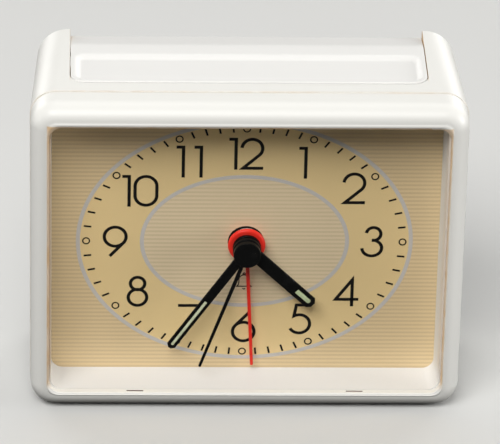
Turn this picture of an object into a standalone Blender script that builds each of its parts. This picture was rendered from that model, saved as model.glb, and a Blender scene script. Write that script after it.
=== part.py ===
"""Bedside quartz alarm clock with a wide push bar on its top.

Metres, +Z up, +X to the right of someone who looks at the dial, front at -Y.
The origin is on the table, under the middle of the clock.
"""

import math

import bmesh
import bpy
from mathutils import Matrix, Vector

# Case
CASE_WIDTH = 0.1104
CASE_HEIGHT = 0.0874
BODY_DEPTH = 0.0445
BEZEL_DEPTH = 0.00935
SIDE_DRAFT = 0.0017
RIM_CORNER_RADIUS = 0.0065
SHOULDER_RADIUS = 0.0080
CASE_WALL = 0.0020
RIM_STEP = 0.0002
REAR_EDGE_RADIUS = 0.0020
TONGUE_LENGTH = 0.0020
TONGUE_WALL = 0.0012
TONGUE_ROOT = 0.0020
CORNER_MIN_RADIUS = 0.0005

# Gaps
SEAT_GAP = 0.0003
FIT_GAP = 0.00015
CUT_OVERRUN = 0.0010

# Bezel and lens
BULLNOSE_WIDTH = 0.0042
BULLNOSE_DEPTH = 0.0050
BEZEL_WALL = 0.0020
FLANGE = 0.0022
LIP = 0.0004
SIDE_BORDER = 0.0047
SILL_BORDER = 0.0049
TOP_BORDER = 0.0057
OPENING_RADIUS = 0.0032
CLIP_NOTCH_WIDTH = 0.0043
CLIP_NOTCH_HEIGHT = 0.0009
CLIP_NOTCH_OFFSET = 0.0282
LENS_GAP = 0.0003
LENS_INSET = 0.0003

# Dial and its frame
DIAL_SETBACK = 0.01225
DIAL_DROP = 0.0003
SURROUND_SIDE = 0.0013
SURROUND_SILL = 0.0004
SURROUND_TOP = 0.0005
WINDOW_RADIUS = 0.0030
LEDGE = 0.0004
FRAME_WALL = 0.0010
DIAL_MARGIN = 0.0019
DIAL_PLATE_MARGIN_Z = 0.00125
DIAL_THICKNESS = 0.0006
DIAL_HOLE_RADIUS = 0.0044

# Push bar
SHOULDER_WIDTH = 0.01005
SLOT_FRONT = 0.0052
SLOT_CORNER_RADIUS = 0.0038
WELL_DEPTH = 0.0110
WELL_WALL = 0.00175
BAR_GAP = 0.00035
BAR_SKIRT = 0.0080
BAR_REAR_SKIRT = 0.0106
BAR_WALL = 0.0018
BAR_EDGE = 0.0006
BAR_REAR_DROP = 0.0023
BAR_SLOPE_LENGTH = 0.0155
BAR_REAR_INSET = 0.0005
RECESS_END_MARGIN = 0.0013
RECESS_WIDTH = 0.0113
RECESS_SETBACK = 0.0039
RECESS_DEPTH = 0.0009
RECESS_SLOPE = 0.0014
PIN_RADIUS = 0.0010
PIN_REACH = 0.0033
PIN_END_CLEARANCE = 0.0003
PIN_REAR = 0.0055
PIN_DROP = 0.0042
BAR_FINGER_WIDTH = 0.0060
BAR_FINGER_THICKNESS = 0.0014
BAR_FINGER_LENGTH = 0.0126
FINGER_HOLE_CLEARANCE = 0.0012
SPRING_RADIUS = 0.0022
SPRING_WIRE_RADIUS = 0.00025
SPRING_TURNS = 5
SPRING_OFFSET = 0.0120

# Back of the case
KNOB_PROUD = 0.0040
KNOB_RADIUS = 0.0060
KNOB_GAP = 0.0004
KNOB_RIBS = 20
KNOB_RIB_DEPTH = 0.0004
SHAFT_RADIUS = 0.0014
SHAFT_HOLE_CLEARANCE = 0.0004
KNOB_BORE_DEPTH = 0.0024
SWITCH_INSET = 0.0212
SWITCH_RISE = 0.0190
SWITCH_TRAVEL = 0.0040
THUMB_WIDTH = 0.0044
THUMB_HEIGHT = 0.0030
THUMB_PROUD = 0.0015
SWITCH_FLANGE_MARGIN = 0.0016
SWITCH_FLANGE_THICKNESS = 0.0012
SOUND_SLIT_LENGTH = 0.0180
SOUND_SLIT_HEIGHT = 0.0012
SOUND_SLIT_PITCH = 0.0030
SOUND_SLITS = 5
BUZZER_CLEARANCE = 0.0024
BUZZER_RADIUS = 0.0118
BUZZER_DEPTH = 0.0040
BUZZER_WALL = 0.0010
PIEZO_THICKNESS = 0.0004
POST_RADIUS = 0.0025
POST_X = 0.0240
POST_RISE = 0.0020

# Battery bay
BATTERY_RADIUS = 0.00705
BATTERY_LENGTH = 0.0495
BATTERY_NUB_LENGTH = 0.0010
BATTERY_NUB_RADIUS = 0.0027
BAY_WALL = 0.0012
BAY_FLOOR = 0.0034
CONTACT_THICKNESS = 0.0004
CONTACT_SIZE = 0.0100
CONTACT_SPRING_LENGTH = 0.0040
CONTACT_SPRING_RADIUS = 0.0030
CONTACT_WIRE_RADIUS = 0.00025
CONTACT_TURNS = 3
DOOR_THICKNESS = 0.0018
DOOR_CORNER_RADIUS = 0.0010
DOOR_RIBS = 4
DOOR_RIB_LENGTH = 0.0120
DOOR_RIB_HEIGHT = 0.0005
DOOR_RIB_WIDTH = 0.0008
DOOR_RIB_PITCH = 0.0020

# Movement case
MOVEMENT_WIDTH = 0.0560
MOVEMENT_REACH = 0.0220
MOVEMENT_CLEARANCE = 0.0017
MOVEMENT_CORNER = 0.0020
MOVEMENT_WALL = 0.0012
COLLAR_WALL = 0.0011
COLLAR_PROUD = 0.0006
BOSS_RADIUS = 0.0018
BOSS_INSET = 0.0027
SCREW_RADIUS = 0.0008
SCREW_HEAD_RADIUS = 0.0016
SCREW_HEAD_HEIGHT = 0.0009
SCREW_LENGTH = 0.0065
SCREW_SLOT = 0.0004
PILLAR_RADIUS = 0.0012
BRIDGE_THICKNESS = 0.00045
BRIDGE_MARGIN = 0.0032

# Depths behind the dial face of what sits in the movement
WHEEL_THICKNESS = 0.0008
WHEEL_GAP = 0.0003
PINION_OVERHANG = 0.0001
PINION_LENGTH = 0.0018
BACK_PLATE_SETBACK = 0.0134

# Gears
MODULE = 0.00036
ROTOR_MODULE = 0.00030
TOOTH_ROOT_SHARE = 0.27
TOOTH_TIP_SHARE = 0.10
ADDENDUM_SHARE = 0.8
DEDENDUM_SHARE = 1.2
TRAIN_PINION_TEETH = 6
ROTOR_WHEEL_TEETH = 36
SECONDS_WHEEL_TEETH = 30
THIRD_WHEEL_TEETH = 48
CENTRE_WHEEL_TEETH = 45
MOTION_PINION_TEETH = 8
MINUTE_WHEEL_TEETH = 24
HOUR_WHEEL_TEETH = 32
ALARM_WHEEL_TEETH = 32
SETTING_DROP = 0.0070
THIRD_WHEEL_TURN = 0.0
ROTOR_WHEEL_TURN = 90.0
ROTOR_TURN = 75.0

# Arbors and hand tubes
ARBOR_RADIUS = 0.0004
MINUTE_TUBE_RADIUS = 0.00095
HOUR_TUBE_RADIUS = 0.00175
ALARM_TUBE_RADIUS = 0.0026
TUBE_WALL = 0.0005
STUD_RADIUS = 0.0005

# Motor and circuit
MAGNET_RADIUS = 0.0024
MAGNET_LENGTH = 0.0014
STATOR_GAP = 0.0006
STATOR_THICKNESS = 0.0009
STATOR_RIM = 0.0009
STATOR_ARM = 0.0020
CORE_WIDTH = 0.0018
CORE_TOP = 0.0094
CORE_BOTTOM = 0.0120
BOBBIN_WALL = 0.0004
BOBBIN_FLANGE_RADIUS = 0.0026
BOBBIN_FLANGE = 0.0006
WINDING_RADIUS = 0.0024
BOARD_INNER = 0.0135
BOARD_CLEARANCE = 0.0013
BOARD_MARGIN = 0.0058
BOARD_THICKNESS = 0.0008
BOARD_SETBACK = 0.0090
BOARD_PILLAR_INSET = 0.0040
CHIP_RADIUS = 0.0024
CHIP_THICKNESS = 0.0010
CHIP_DROP = 0.0060
CRYSTAL_RADIUS = 0.0010
CRYSTAL_LENGTH = 0.0060
CRYSTAL_RISE = 0.0060
ALARM_LEAF_WIDTH = 0.0020
ALARM_LEAF_THICKNESS = 0.0003
ALARM_LEAF_RISE = 0.0050
ALARM_LEAF_FOOT = 0.0040
STOP_LEAF_LENGTH = 0.0080
STOP_LEAF_WIDTH = 0.0040
STOP_LEAF_THICKNESS = 0.0003
STOP_LEAF_CLEARANCE = 0.0014

# Hands: how far their tips stay from the window's edge, and turns clockwise from twelve
HAND_THICKNESS = 0.0005
HUB_RADIUS = 0.0036
HUB_THICKNESS = 0.0010
ALARM_DISC_RADIUS = 0.0048
ALARM_DISC_THICKNESS = 0.0009
ALARM_DISC_SETOFF = 0.0014
HOUR_HAND_SETOFF = 0.0031
MINUTE_HAND_SETOFF = 0.0047
SECONDS_HAND_SETOFF = 0.0063
SECONDS_CAP_RADIUS = 0.0035
SECONDS_CAP_THICKNESS = 0.0015
HOUR_HAND_MARGIN = 0.01435
HOUR_HAND_WIDTH = 0.0033
HOUR_HAND_TIP_WIDTH = 0.0029
MINUTE_HAND_MARGIN = 0.00395
MINUTE_HAND_WIDTH = 0.0024
MINUTE_HAND_TIP_WIDTH = 0.0021
HAND_TIP_CHAMFER = 0.0008
HOUR_LUME_LENGTH = 0.0044
HOUR_LUME_WIDTH = 0.0013
HOUR_LUME_TIP_MARGIN = 0.0009
MINUTE_LUME_LENGTH = 0.0150
MINUTE_LUME_WIDTH = 0.0008
MINUTE_LUME_TIP_MARGIN = 0.0009
LUME_GAP = 0.0001
SECONDS_HAND_MARGIN = 0.00255
SECONDS_HAND_WIDTH = 0.0010
SECONDS_HAND_TIP_WIDTH = 0.0007
ALARM_HAND_MARGIN = 0.00215
ALARM_HAND_WIDTH = 0.0010
ALARM_HAND_TIP_WIDTH = 0.0008
HOUR_HAND_TURN = 132.4
MINUTE_HAND_TURN = 213.8
SECONDS_HAND_TURN = 199.3
ALARM_HAND_TURN = 176.8

# Counts that set how round things are
CORNER_STEPS = 5
BULLNOSE_STEPS = 6
EDGE_STEPS = 3
LARGE_SIDES = 32
SMALL_SIDES = 20
THIN_SIDES = 12
COIL_POINTS = 10
SMOOTH_ANGLE = math.radians(35.0)

# Planes and lines that the sizes above set
FRONT_Y = -(BODY_DEPTH + KNOB_PROUD) / 2
SEAM_Y = FRONT_Y + BEZEL_DEPTH
DIAL_Y = FRONT_Y + DIAL_SETBACK
REAR_Y = FRONT_Y + BODY_DEPTH
REAR_INNER_Y = REAR_Y - CASE_WALL
CASE_MID_Z = CASE_HEIGHT / 2
OPENING_WIDTH = CASE_WIDTH - 2 * (RIM_STEP + SIDE_BORDER)
OPENING_HEIGHT = CASE_HEIGHT - 2 * RIM_STEP - SILL_BORDER - TOP_BORDER
OPENING_Z = RIM_STEP + SILL_BORDER + OPENING_HEIGHT / 2
WINDOW_WIDTH = OPENING_WIDTH - 2 * SURROUND_SIDE
WINDOW_HEIGHT = OPENING_HEIGHT - SURROUND_SILL - SURROUND_TOP
WINDOW_Z = OPENING_Z + (SURROUND_SILL - SURROUND_TOP) / 2
DIAL_HEIGHT = OPENING_Z - DIAL_DROP
SLOT_WIDTH = CASE_WIDTH - 2 * SHOULDER_WIDTH
SLOT_FRONT_Y = SEAM_Y + SLOT_FRONT
PIN_Y = REAR_Y - PIN_REAR
PIN_Z = CASE_HEIGHT - PIN_DROP
WELL_FLOOR_Z = CASE_HEIGHT - WELL_DEPTH
SWITCH_X = CASE_WIDTH / 2 - SWITCH_INSET
BUZZER_Z = WELL_FLOOR_Z - WELL_WALL - BUZZER_CLEARANCE - BUZZER_RADIUS
BAY_HEIGHT = 2 * (BATTERY_RADIUS + SEAT_GAP)
MOVEMENT_BOTTOM = BAY_FLOOR + BAY_HEIGHT + BAY_WALL + MOVEMENT_CLEARANCE - DIAL_HEIGHT
MOVEMENT_HEIGHT = MOVEMENT_REACH - MOVEMENT_BOTTOM
MOVEMENT_MID = (MOVEMENT_REACH + MOVEMENT_BOTTOM) / 2
MOVEMENT_INNER = MOVEMENT_WIDTH / 2 - MOVEMENT_WALL
BOARD_OUTER = MOVEMENT_INNER - BOARD_CLEARANCE
BOARD_X = -(BOARD_INNER + BOARD_OUTER) / 2
BOARD_HEIGHT = MOVEMENT_HEIGHT - 2 * (MOVEMENT_WALL + BOARD_MARGIN)

# Hands, as lengths from the hand axis
HAND_ROOM = WINDOW_HEIGHT / 2
HOUR_HAND_LENGTH = HAND_ROOM - HOUR_HAND_MARGIN
MINUTE_HAND_LENGTH = HAND_ROOM - MINUTE_HAND_MARGIN
SECONDS_HAND_LENGTH = HAND_ROOM - SECONDS_HAND_MARGIN
ALARM_HAND_LENGTH = HAND_ROOM - ALARM_HAND_MARGIN

# Depths in the movement, measured back from the dial face
FRAME_FRONT = DIAL_THICKNESS + SEAT_GAP
FRAME_BACK = FRAME_FRONT + MOVEMENT_WALL
ALARM_WHEEL_AT = FRAME_BACK + WHEEL_GAP
HOUR_WHEEL_AT = ALARM_WHEEL_AT + WHEEL_THICKNESS + WHEEL_GAP
MINUTE_PINION_AT = HOUR_WHEEL_AT + WHEEL_THICKNESS + WHEEL_GAP
MINUTE_WHEEL_AT = MINUTE_PINION_AT + WHEEL_GAP
MINUTE_PINION_END = MINUTE_PINION_AT + PINION_LENGTH
CENTRE_WHEEL_AT = MINUTE_PINION_END + WHEEL_GAP
BRIDGE_AT = CENTRE_WHEEL_AT + WHEEL_THICKNESS + WHEEL_GAP
BRIDGE_BACK = BRIDGE_AT + BRIDGE_THICKNESS
THIRD_WHEEL_AT = BRIDGE_BACK + WHEEL_GAP
SECONDS_WHEEL_AT = THIRD_WHEEL_AT + WHEEL_THICKNESS + WHEEL_GAP
ROTOR_WHEEL_AT = SECONDS_WHEEL_AT + WHEEL_THICKNESS + WHEEL_GAP
COVER_FRONT = BACK_PLATE_SETBACK
COVER_BACK = COVER_FRONT + MOVEMENT_WALL
ARBOR_END = COVER_FRONT - WHEEL_GAP

WHITE = (0.80, 0.79, 0.75)
BAR_WHITE = (0.84, 0.83, 0.80)
CLEAR = (0.90, 0.92, 0.92)
GOLD = (0.55, 0.42, 0.24)
BLACK = (0.010, 0.010, 0.010)
RED = (0.60, 0.03, 0.015)
LUME = (0.50, 0.62, 0.42)
STEEL = (0.60, 0.60, 0.60)
BRASS = (0.72, 0.52, 0.22)
COPPER = (0.62, 0.24, 0.10)
NATURAL_PLASTIC = (0.72, 0.70, 0.62)
GREEN_BOARD = (0.03, 0.18, 0.07)
MAGNET_GREY = (0.10, 0.10, 0.11)
CELL_BLUE = (0.05, 0.09, 0.20)


def clear_scene():
    """Remove every object, so that the model starts from nothing."""
    for obj in list(bpy.data.objects):
        bpy.data.objects.remove(obj, do_unlink=True)


def finish(name, color, roughness, metallic=0.0, alpha=1.0):
    """Return the material of that name, made on its first use."""
    material = bpy.data.materials.get(name)
    if material is None:
        material = bpy.data.materials.new(name)
        material.use_nodes = True
        shader = material.node_tree.nodes["Principled BSDF"]
        shader.inputs["Base Color"].default_value = (*color, 1.0)
        shader.inputs["Roughness"].default_value = roughness
        shader.inputs["Metallic"].default_value = metallic
        shader.inputs["Alpha"].default_value = alpha
    return material


def finishes():
    """Make every material of the clock, by the name of what it covers."""
    return {
        "case": finish("case_plastic", WHITE, 0.35),
        "bar": finish("bar_plastic", BAR_WHITE, 0.30),
        "lens": finish("lens_clear", CLEAR, 0.05, alpha=0.15),
        "dial": finish("dial_print", GOLD, 0.40, 0.3),
        "black": finish("hand_black", BLACK, 0.45),
        "red": finish("alarm_red", RED, 0.35),
        "lume": finish("lume_paint", LUME, 0.80),
        "steel": finish("steel", STEEL, 0.30, 1.0),
        "brass": finish("brass", BRASS, 0.30, 1.0),
        "copper": finish("copper_wire", COPPER, 0.35, 1.0),
        "natural": finish("movement_plastic", NATURAL_PLASTIC, 0.45),
        "board": finish("board_green", GREEN_BOARD, 0.50),
        "magnet": finish("magnet", MAGNET_GREY, 0.60),
        "cell": finish("cell_sleeve", CELL_BLUE, 0.35),
    }


def rounded_rect(width, height, radii, centre=(0.0, 0.0)):
    """Points round a rectangle whose four corners are arcs, anticlockwise.

    radii is one radius, or four: right top, left top, left bottom, right bottom.
    """
    if not isinstance(radii, tuple):
        radii = (radii,) * 4
    points = []
    for corner, radius in enumerate(radii):
        side_x = (1, -1, -1, 1)[corner]
        side_y = (1, 1, -1, -1)[corner]
        middle_x = centre[0] + side_x * (width / 2 - radius)
        middle_y = centre[1] + side_y * (height / 2 - radius)
        for step in range(CORNER_STEPS + 1):
            angle = math.radians(90.0 * (corner + step / CORNER_STEPS))
            points.append((middle_x + radius * math.cos(angle), middle_y + radius * math.sin(angle)))
    return points


def circle(radius, sides, centre=(0.0, 0.0)):
    """Points round a circle, anticlockwise."""
    angles = [math.tau * i / sides for i in range(sides)]
    return [(centre[0] + radius * math.cos(a), centre[1] + radius * math.sin(a)) for a in angles]


def across_y(outline, y):
    """Lay an outline of X and Z in the plane of that Y."""
    return [Vector((x, y, z)) for x, z in outline]


def across_z(outline, z):
    """Lay an outline of X and Y in the plane of that Z."""
    return [Vector((x, y, z)) for x, y in outline]


def across_x(outline, x):
    """Lay an outline of Y and Z in the plane of that X."""
    return [Vector((x, y, z)) for y, z in outline]


def loft(bm, rings, closed=False):
    """Join rings of equally many points; close them on themselves or with caps."""
    loops = [[bm.verts.new(point) for point in ring] for ring in rings]
    pairs = list(zip(loops, loops[1:]))
    if closed:
        pairs.append((loops[-1], loops[0]))
    for near, far in pairs:
        for i in range(len(near)):
            j = (i + 1) % len(near)
            bm.faces.new((near[i], near[j], far[j], far[i]))
    if not closed:
        bm.faces.new(loops[0])
        bm.faces.new(loops[-1])


def add_box(bm, low, high):
    """Add a box between two opposite corners."""
    size = Vector(high) - Vector(low)
    middle = (Vector(high) + Vector(low)) / 2
    bmesh.ops.create_cube(bm, size=1.0, matrix=Matrix.Translation(middle) @ Matrix.Diagonal((*size, 1.0)))


def add_rod(bm, radius, start, end, sides, centre=(0.0, 0.0)):
    """Add a round rod along Y, from start to end."""
    loft(bm, [across_y(circle(radius, sides, centre), y) for y in (start, end)])


def add_turned(bm, profile, sides, centre=(0.0, 0.0)):
    """Add a body turned about a line along Y, from (radius, y) pairs, with flat ends."""
    loft(bm, [across_y(circle(radius, sides, centre), y) for radius, y in profile])


def mesh_from(name, bm):
    """Turn a bmesh into a mesh whose faces point out, smooth where it is round."""
    bmesh.ops.recalc_face_normals(bm, faces=bm.faces)
    mesh = bpy.data.meshes.new(name)
    bm.to_mesh(mesh)
    bm.free()
    mesh.shade_smooth()
    mesh.set_sharp_from_angle(angle=SMOOTH_ANGLE)
    return mesh


def add_piece(name, bm, material, place=(0.0, 0.0, 0.0), turn=0.0, parent=None):
    """Make one named piece at its place, turned clockwise about its own Y axis."""
    obj = bpy.data.objects.new(name, mesh_from(name, bm))
    bpy.context.scene.collection.objects.link(obj)
    obj.data.materials.append(material)
    obj.location = place
    obj.rotation_euler = (0.0, math.radians(turn), 0.0)
    obj.parent = parent
    return obj


def add_axis(name, place):
    """Make an empty on a joint's axis, to carry the pieces that turn with it."""
    axis = bpy.data.objects.new(name, None)
    bpy.context.scene.collection.objects.link(axis)
    axis.location = place
    return axis


def shape_with(target, name, bm, operation):
    """Cut a hidden tool out of a piece, or join it on; the tool moves with the piece."""
    tool = bpy.data.objects.new(f"{target.name}_{name}", mesh_from(name, bm))
    bpy.context.scene.collection.objects.link(tool)
    tool.parent = target
    tool.hide_render = True
    tool.display_type = "WIRE"
    modifier = target.modifiers.new(name, "BOOLEAN")
    modifier.operation = operation
    modifier.solver = "EXACT"
    modifier.object = tool


def box_tool(low, high):
    """Return a new bmesh that holds one box."""
    bm = bmesh.new()
    add_box(bm, low, high)
    return bm


def rod_tool(radius, start, end, sides, centre=(0.0, 0.0)):
    """Return a new bmesh that holds one rod along Y."""
    bm = bmesh.new()
    add_rod(bm, radius, start, end, sides, centre)
    return bm


def rod_across(radius, reach, y, z, sides):
    """Return a new bmesh that holds one rod along X, as far each way."""
    bm = bmesh.new()
    loft(bm, [across_x(circle(radius, sides, (y, z)), x) for x in (-reach, reach)])
    return bm


def inset_rect(width, height, radius, inset, centre_z):
    """Points of a rounded rectangle drawn in by inset on every side."""
    corner = max(radius - inset, CORNER_MIN_RADIUS)
    return rounded_rect(width - 2 * inset, height - 2 * inset, corner, (0.0, centre_z))


def bezel_outline(inset):
    """Outline of the bezel's outside, drawn in by inset."""
    width = CASE_WIDTH - 2 * RIM_STEP
    height = CASE_HEIGHT - 2 * RIM_STEP
    return inset_rect(width, height, RIM_CORNER_RADIUS, inset, CASE_MID_Z)


def opening_outline(inset):
    """Outline of the bezel's opening, drawn in by inset."""
    return inset_rect(OPENING_WIDTH, OPENING_HEIGHT, OPENING_RADIUS, inset, OPENING_Z)


def window_outline(inset):
    """Outline of the white frame's window onto the dial, drawn in by inset."""
    return inset_rect(WINDOW_WIDTH, WINDOW_HEIGHT, WINDOW_RADIUS, inset, WINDOW_Z)


def case_outline(y, inset):
    """Outline of the rear case at that depth: its sides draw in towards the back."""
    share = (y - SEAM_Y) / (REAR_Y - SEAM_Y)
    width = CASE_WIDTH - 2 * SIDE_DRAFT * share
    radius = RIM_CORNER_RADIUS + (SHOULDER_RADIUS - RIM_CORNER_RADIUS) * share
    return inset_rect(width, CASE_HEIGHT, radius, inset, CASE_MID_Z)


def make_front_bezel(looks):
    """White front ring: a full round outside, a flat land and a lipped opening."""
    bm = bmesh.new()
    rings = [
        across_y(opening_outline(0.0), FRONT_Y + FLANGE),
        across_y(opening_outline(0.0), FRONT_Y + LIP),
        across_y(opening_outline(-LIP), FRONT_Y),
    ]
    for step in range(BULLNOSE_STEPS + 1):
        angle = math.radians(90.0 * step / BULLNOSE_STEPS)
        inset = BULLNOSE_WIDTH * (1 - math.sin(angle))
        y = FRONT_Y + BULLNOSE_DEPTH * (1 - math.cos(angle))
        rings.append(across_y(bezel_outline(inset), y))
    rear = SEAM_Y - SEAT_GAP / 2
    rings += [
        across_y(bezel_outline(0.0), rear),
        across_y(bezel_outline(BEZEL_WALL), rear),
        across_y(bezel_outline(BEZEL_WALL), FRONT_Y + FLANGE),
    ]
    loft(bm, rings, closed=True)
    bezel = add_piece("front_bezel", bm, looks["case"])
    notches = bmesh.new()
    sill = OPENING_Z - OPENING_HEIGHT / 2
    for side in (-1, 1):
        middle = side * CLIP_NOTCH_OFFSET
        low = (middle - CLIP_NOTCH_WIDTH / 2, FRONT_Y - CUT_OVERRUN, sill - CLIP_NOTCH_HEIGHT)
        high = (middle + CLIP_NOTCH_WIDTH / 2, FRONT_Y + FLANGE + CUT_OVERRUN, sill + CUT_OVERRUN)
        add_box(notches, low, high)
    shape_with(bezel, "clip_notches", notches, "DIFFERENCE")


def make_lens(looks):
    """Clear flat front window, set in the bezel's opening."""
    bm = bmesh.new()
    outline = opening_outline(LENS_GAP)
    loft(bm, [across_y(outline, FRONT_Y + LENS_INSET), across_y(outline, FRONT_Y + FLANGE)])
    add_piece("lens", bm, looks["lens"])


def make_dial_frame(looks):
    """White surround between the lens and the dial, with a flange at each end."""
    bm = bmesh.new()
    front = FRONT_Y + FLANGE + SEAT_GAP
    rear = DIAL_Y - SEAT_GAP
    ledge = LENS_GAP + LEDGE
    front_flange = bezel_outline(BEZEL_WALL + SEAT_GAP)
    rear_flange = window_outline(-DIAL_PLATE_MARGIN_Z)
    rings = [
        across_y(opening_outline(ledge), front),
        across_y(front_flange, front),
        across_y(front_flange, front + FRAME_WALL),
        across_y(opening_outline(ledge - FRAME_WALL), front + FRAME_WALL),
        across_y(window_outline(-FRAME_WALL), rear - FRAME_WALL),
        across_y(rear_flange, rear - FRAME_WALL),
        across_y(rear_flange, rear),
        across_y(window_outline(0.0), rear),
    ]
    loft(bm, rings, closed=True)
    add_piece("dial_frame", bm, looks["case"])


def make_dial_plate(looks):
    """Thin dial with a hole for the hands' tubes."""
    bm = bmesh.new()
    width = WINDOW_WIDTH + 2 * DIAL_MARGIN
    height = WINDOW_HEIGHT + 2 * DIAL_PLATE_MARGIN_Z
    outline = rounded_rect(width, height, WINDOW_RADIUS, (0.0, WINDOW_Z))
    loft(bm, [across_y(outline, DIAL_Y), across_y(outline, DIAL_Y + DIAL_THICKNESS)])
    dial = add_piece("dial_plate", bm, looks["dial"])
    start = DIAL_Y - CUT_OVERRUN
    end = DIAL_Y + DIAL_THICKNESS + CUT_OVERRUN
    hole = rod_tool(DIAL_HOLE_RADIUS, start, end, LARGE_SIDES, (0.0, DIAL_HEIGHT))
    shape_with(dial, "hand_hole", hole, "DIFFERENCE")


def setting_places():
    """Where the two setting shafts stand, as X and height above the dial's middle."""
    alarm_reach = MODULE * ALARM_WHEEL_TEETH
    time_reach = motion_distance() + minute_wheel_reach()
    alarm_x = -math.sqrt(alarm_reach**2 - SETTING_DROP**2)
    time_x = math.sqrt(time_reach**2 - SETTING_DROP**2)
    return (alarm_x, -SETTING_DROP), (time_x, -SETTING_DROP)


def motion_distance():
    """Distance from the hand axis to the minute wheel, set by the hour wheel's mesh."""
    return MODULE * (MOTION_PINION_TEETH + HOUR_WHEEL_TEETH) / 2


def motion_module():
    """Module of the minute wheel's own teeth, so that its mesh has the same distance."""
    return 2 * motion_distance() / (MOTION_PINION_TEETH + MINUTE_WHEEL_TEETH)


def minute_wheel_reach():
    """Distance from the minute wheel to the time setting shaft."""
    return motion_module() * (MOTION_PINION_TEETH + MINUTE_WHEEL_TEETH) / 2


def bay_box():
    """Low and high corners of the battery bay's inside, up to the door's inner face."""
    contacts = CONTACT_SPRING_LENGTH + CONTACT_THICKNESS
    half = (BATTERY_LENGTH + BATTERY_NUB_LENGTH + contacts + 4 * SEAT_GAP) / 2
    door_inner = REAR_Y - DOOR_THICKNESS
    low = (-half, door_inner - 2 * BATTERY_RADIUS - 2 * SEAT_GAP, BAY_FLOOR)
    high = (half, door_inner, BAY_FLOOR + BAY_HEIGHT)
    return low, high


def slot_cutter():
    """Tool for the well that the push bar sits in, open at the top and the back."""
    bm = bmesh.new()
    rear = REAR_Y + CUT_OVERRUN
    middle_y = (SLOT_FRONT_Y + rear) / 2
    radii = (CORNER_MIN_RADIUS, CORNER_MIN_RADIUS, SLOT_CORNER_RADIUS, SLOT_CORNER_RADIUS)
    outline = rounded_rect(SLOT_WIDTH, rear - SLOT_FRONT_Y, radii, (0.0, middle_y))
    loft(bm, [across_z(outline, WELL_FLOOR_Z), across_z(outline, CASE_HEIGHT + CUT_OVERRUN)])
    return bm


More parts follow.
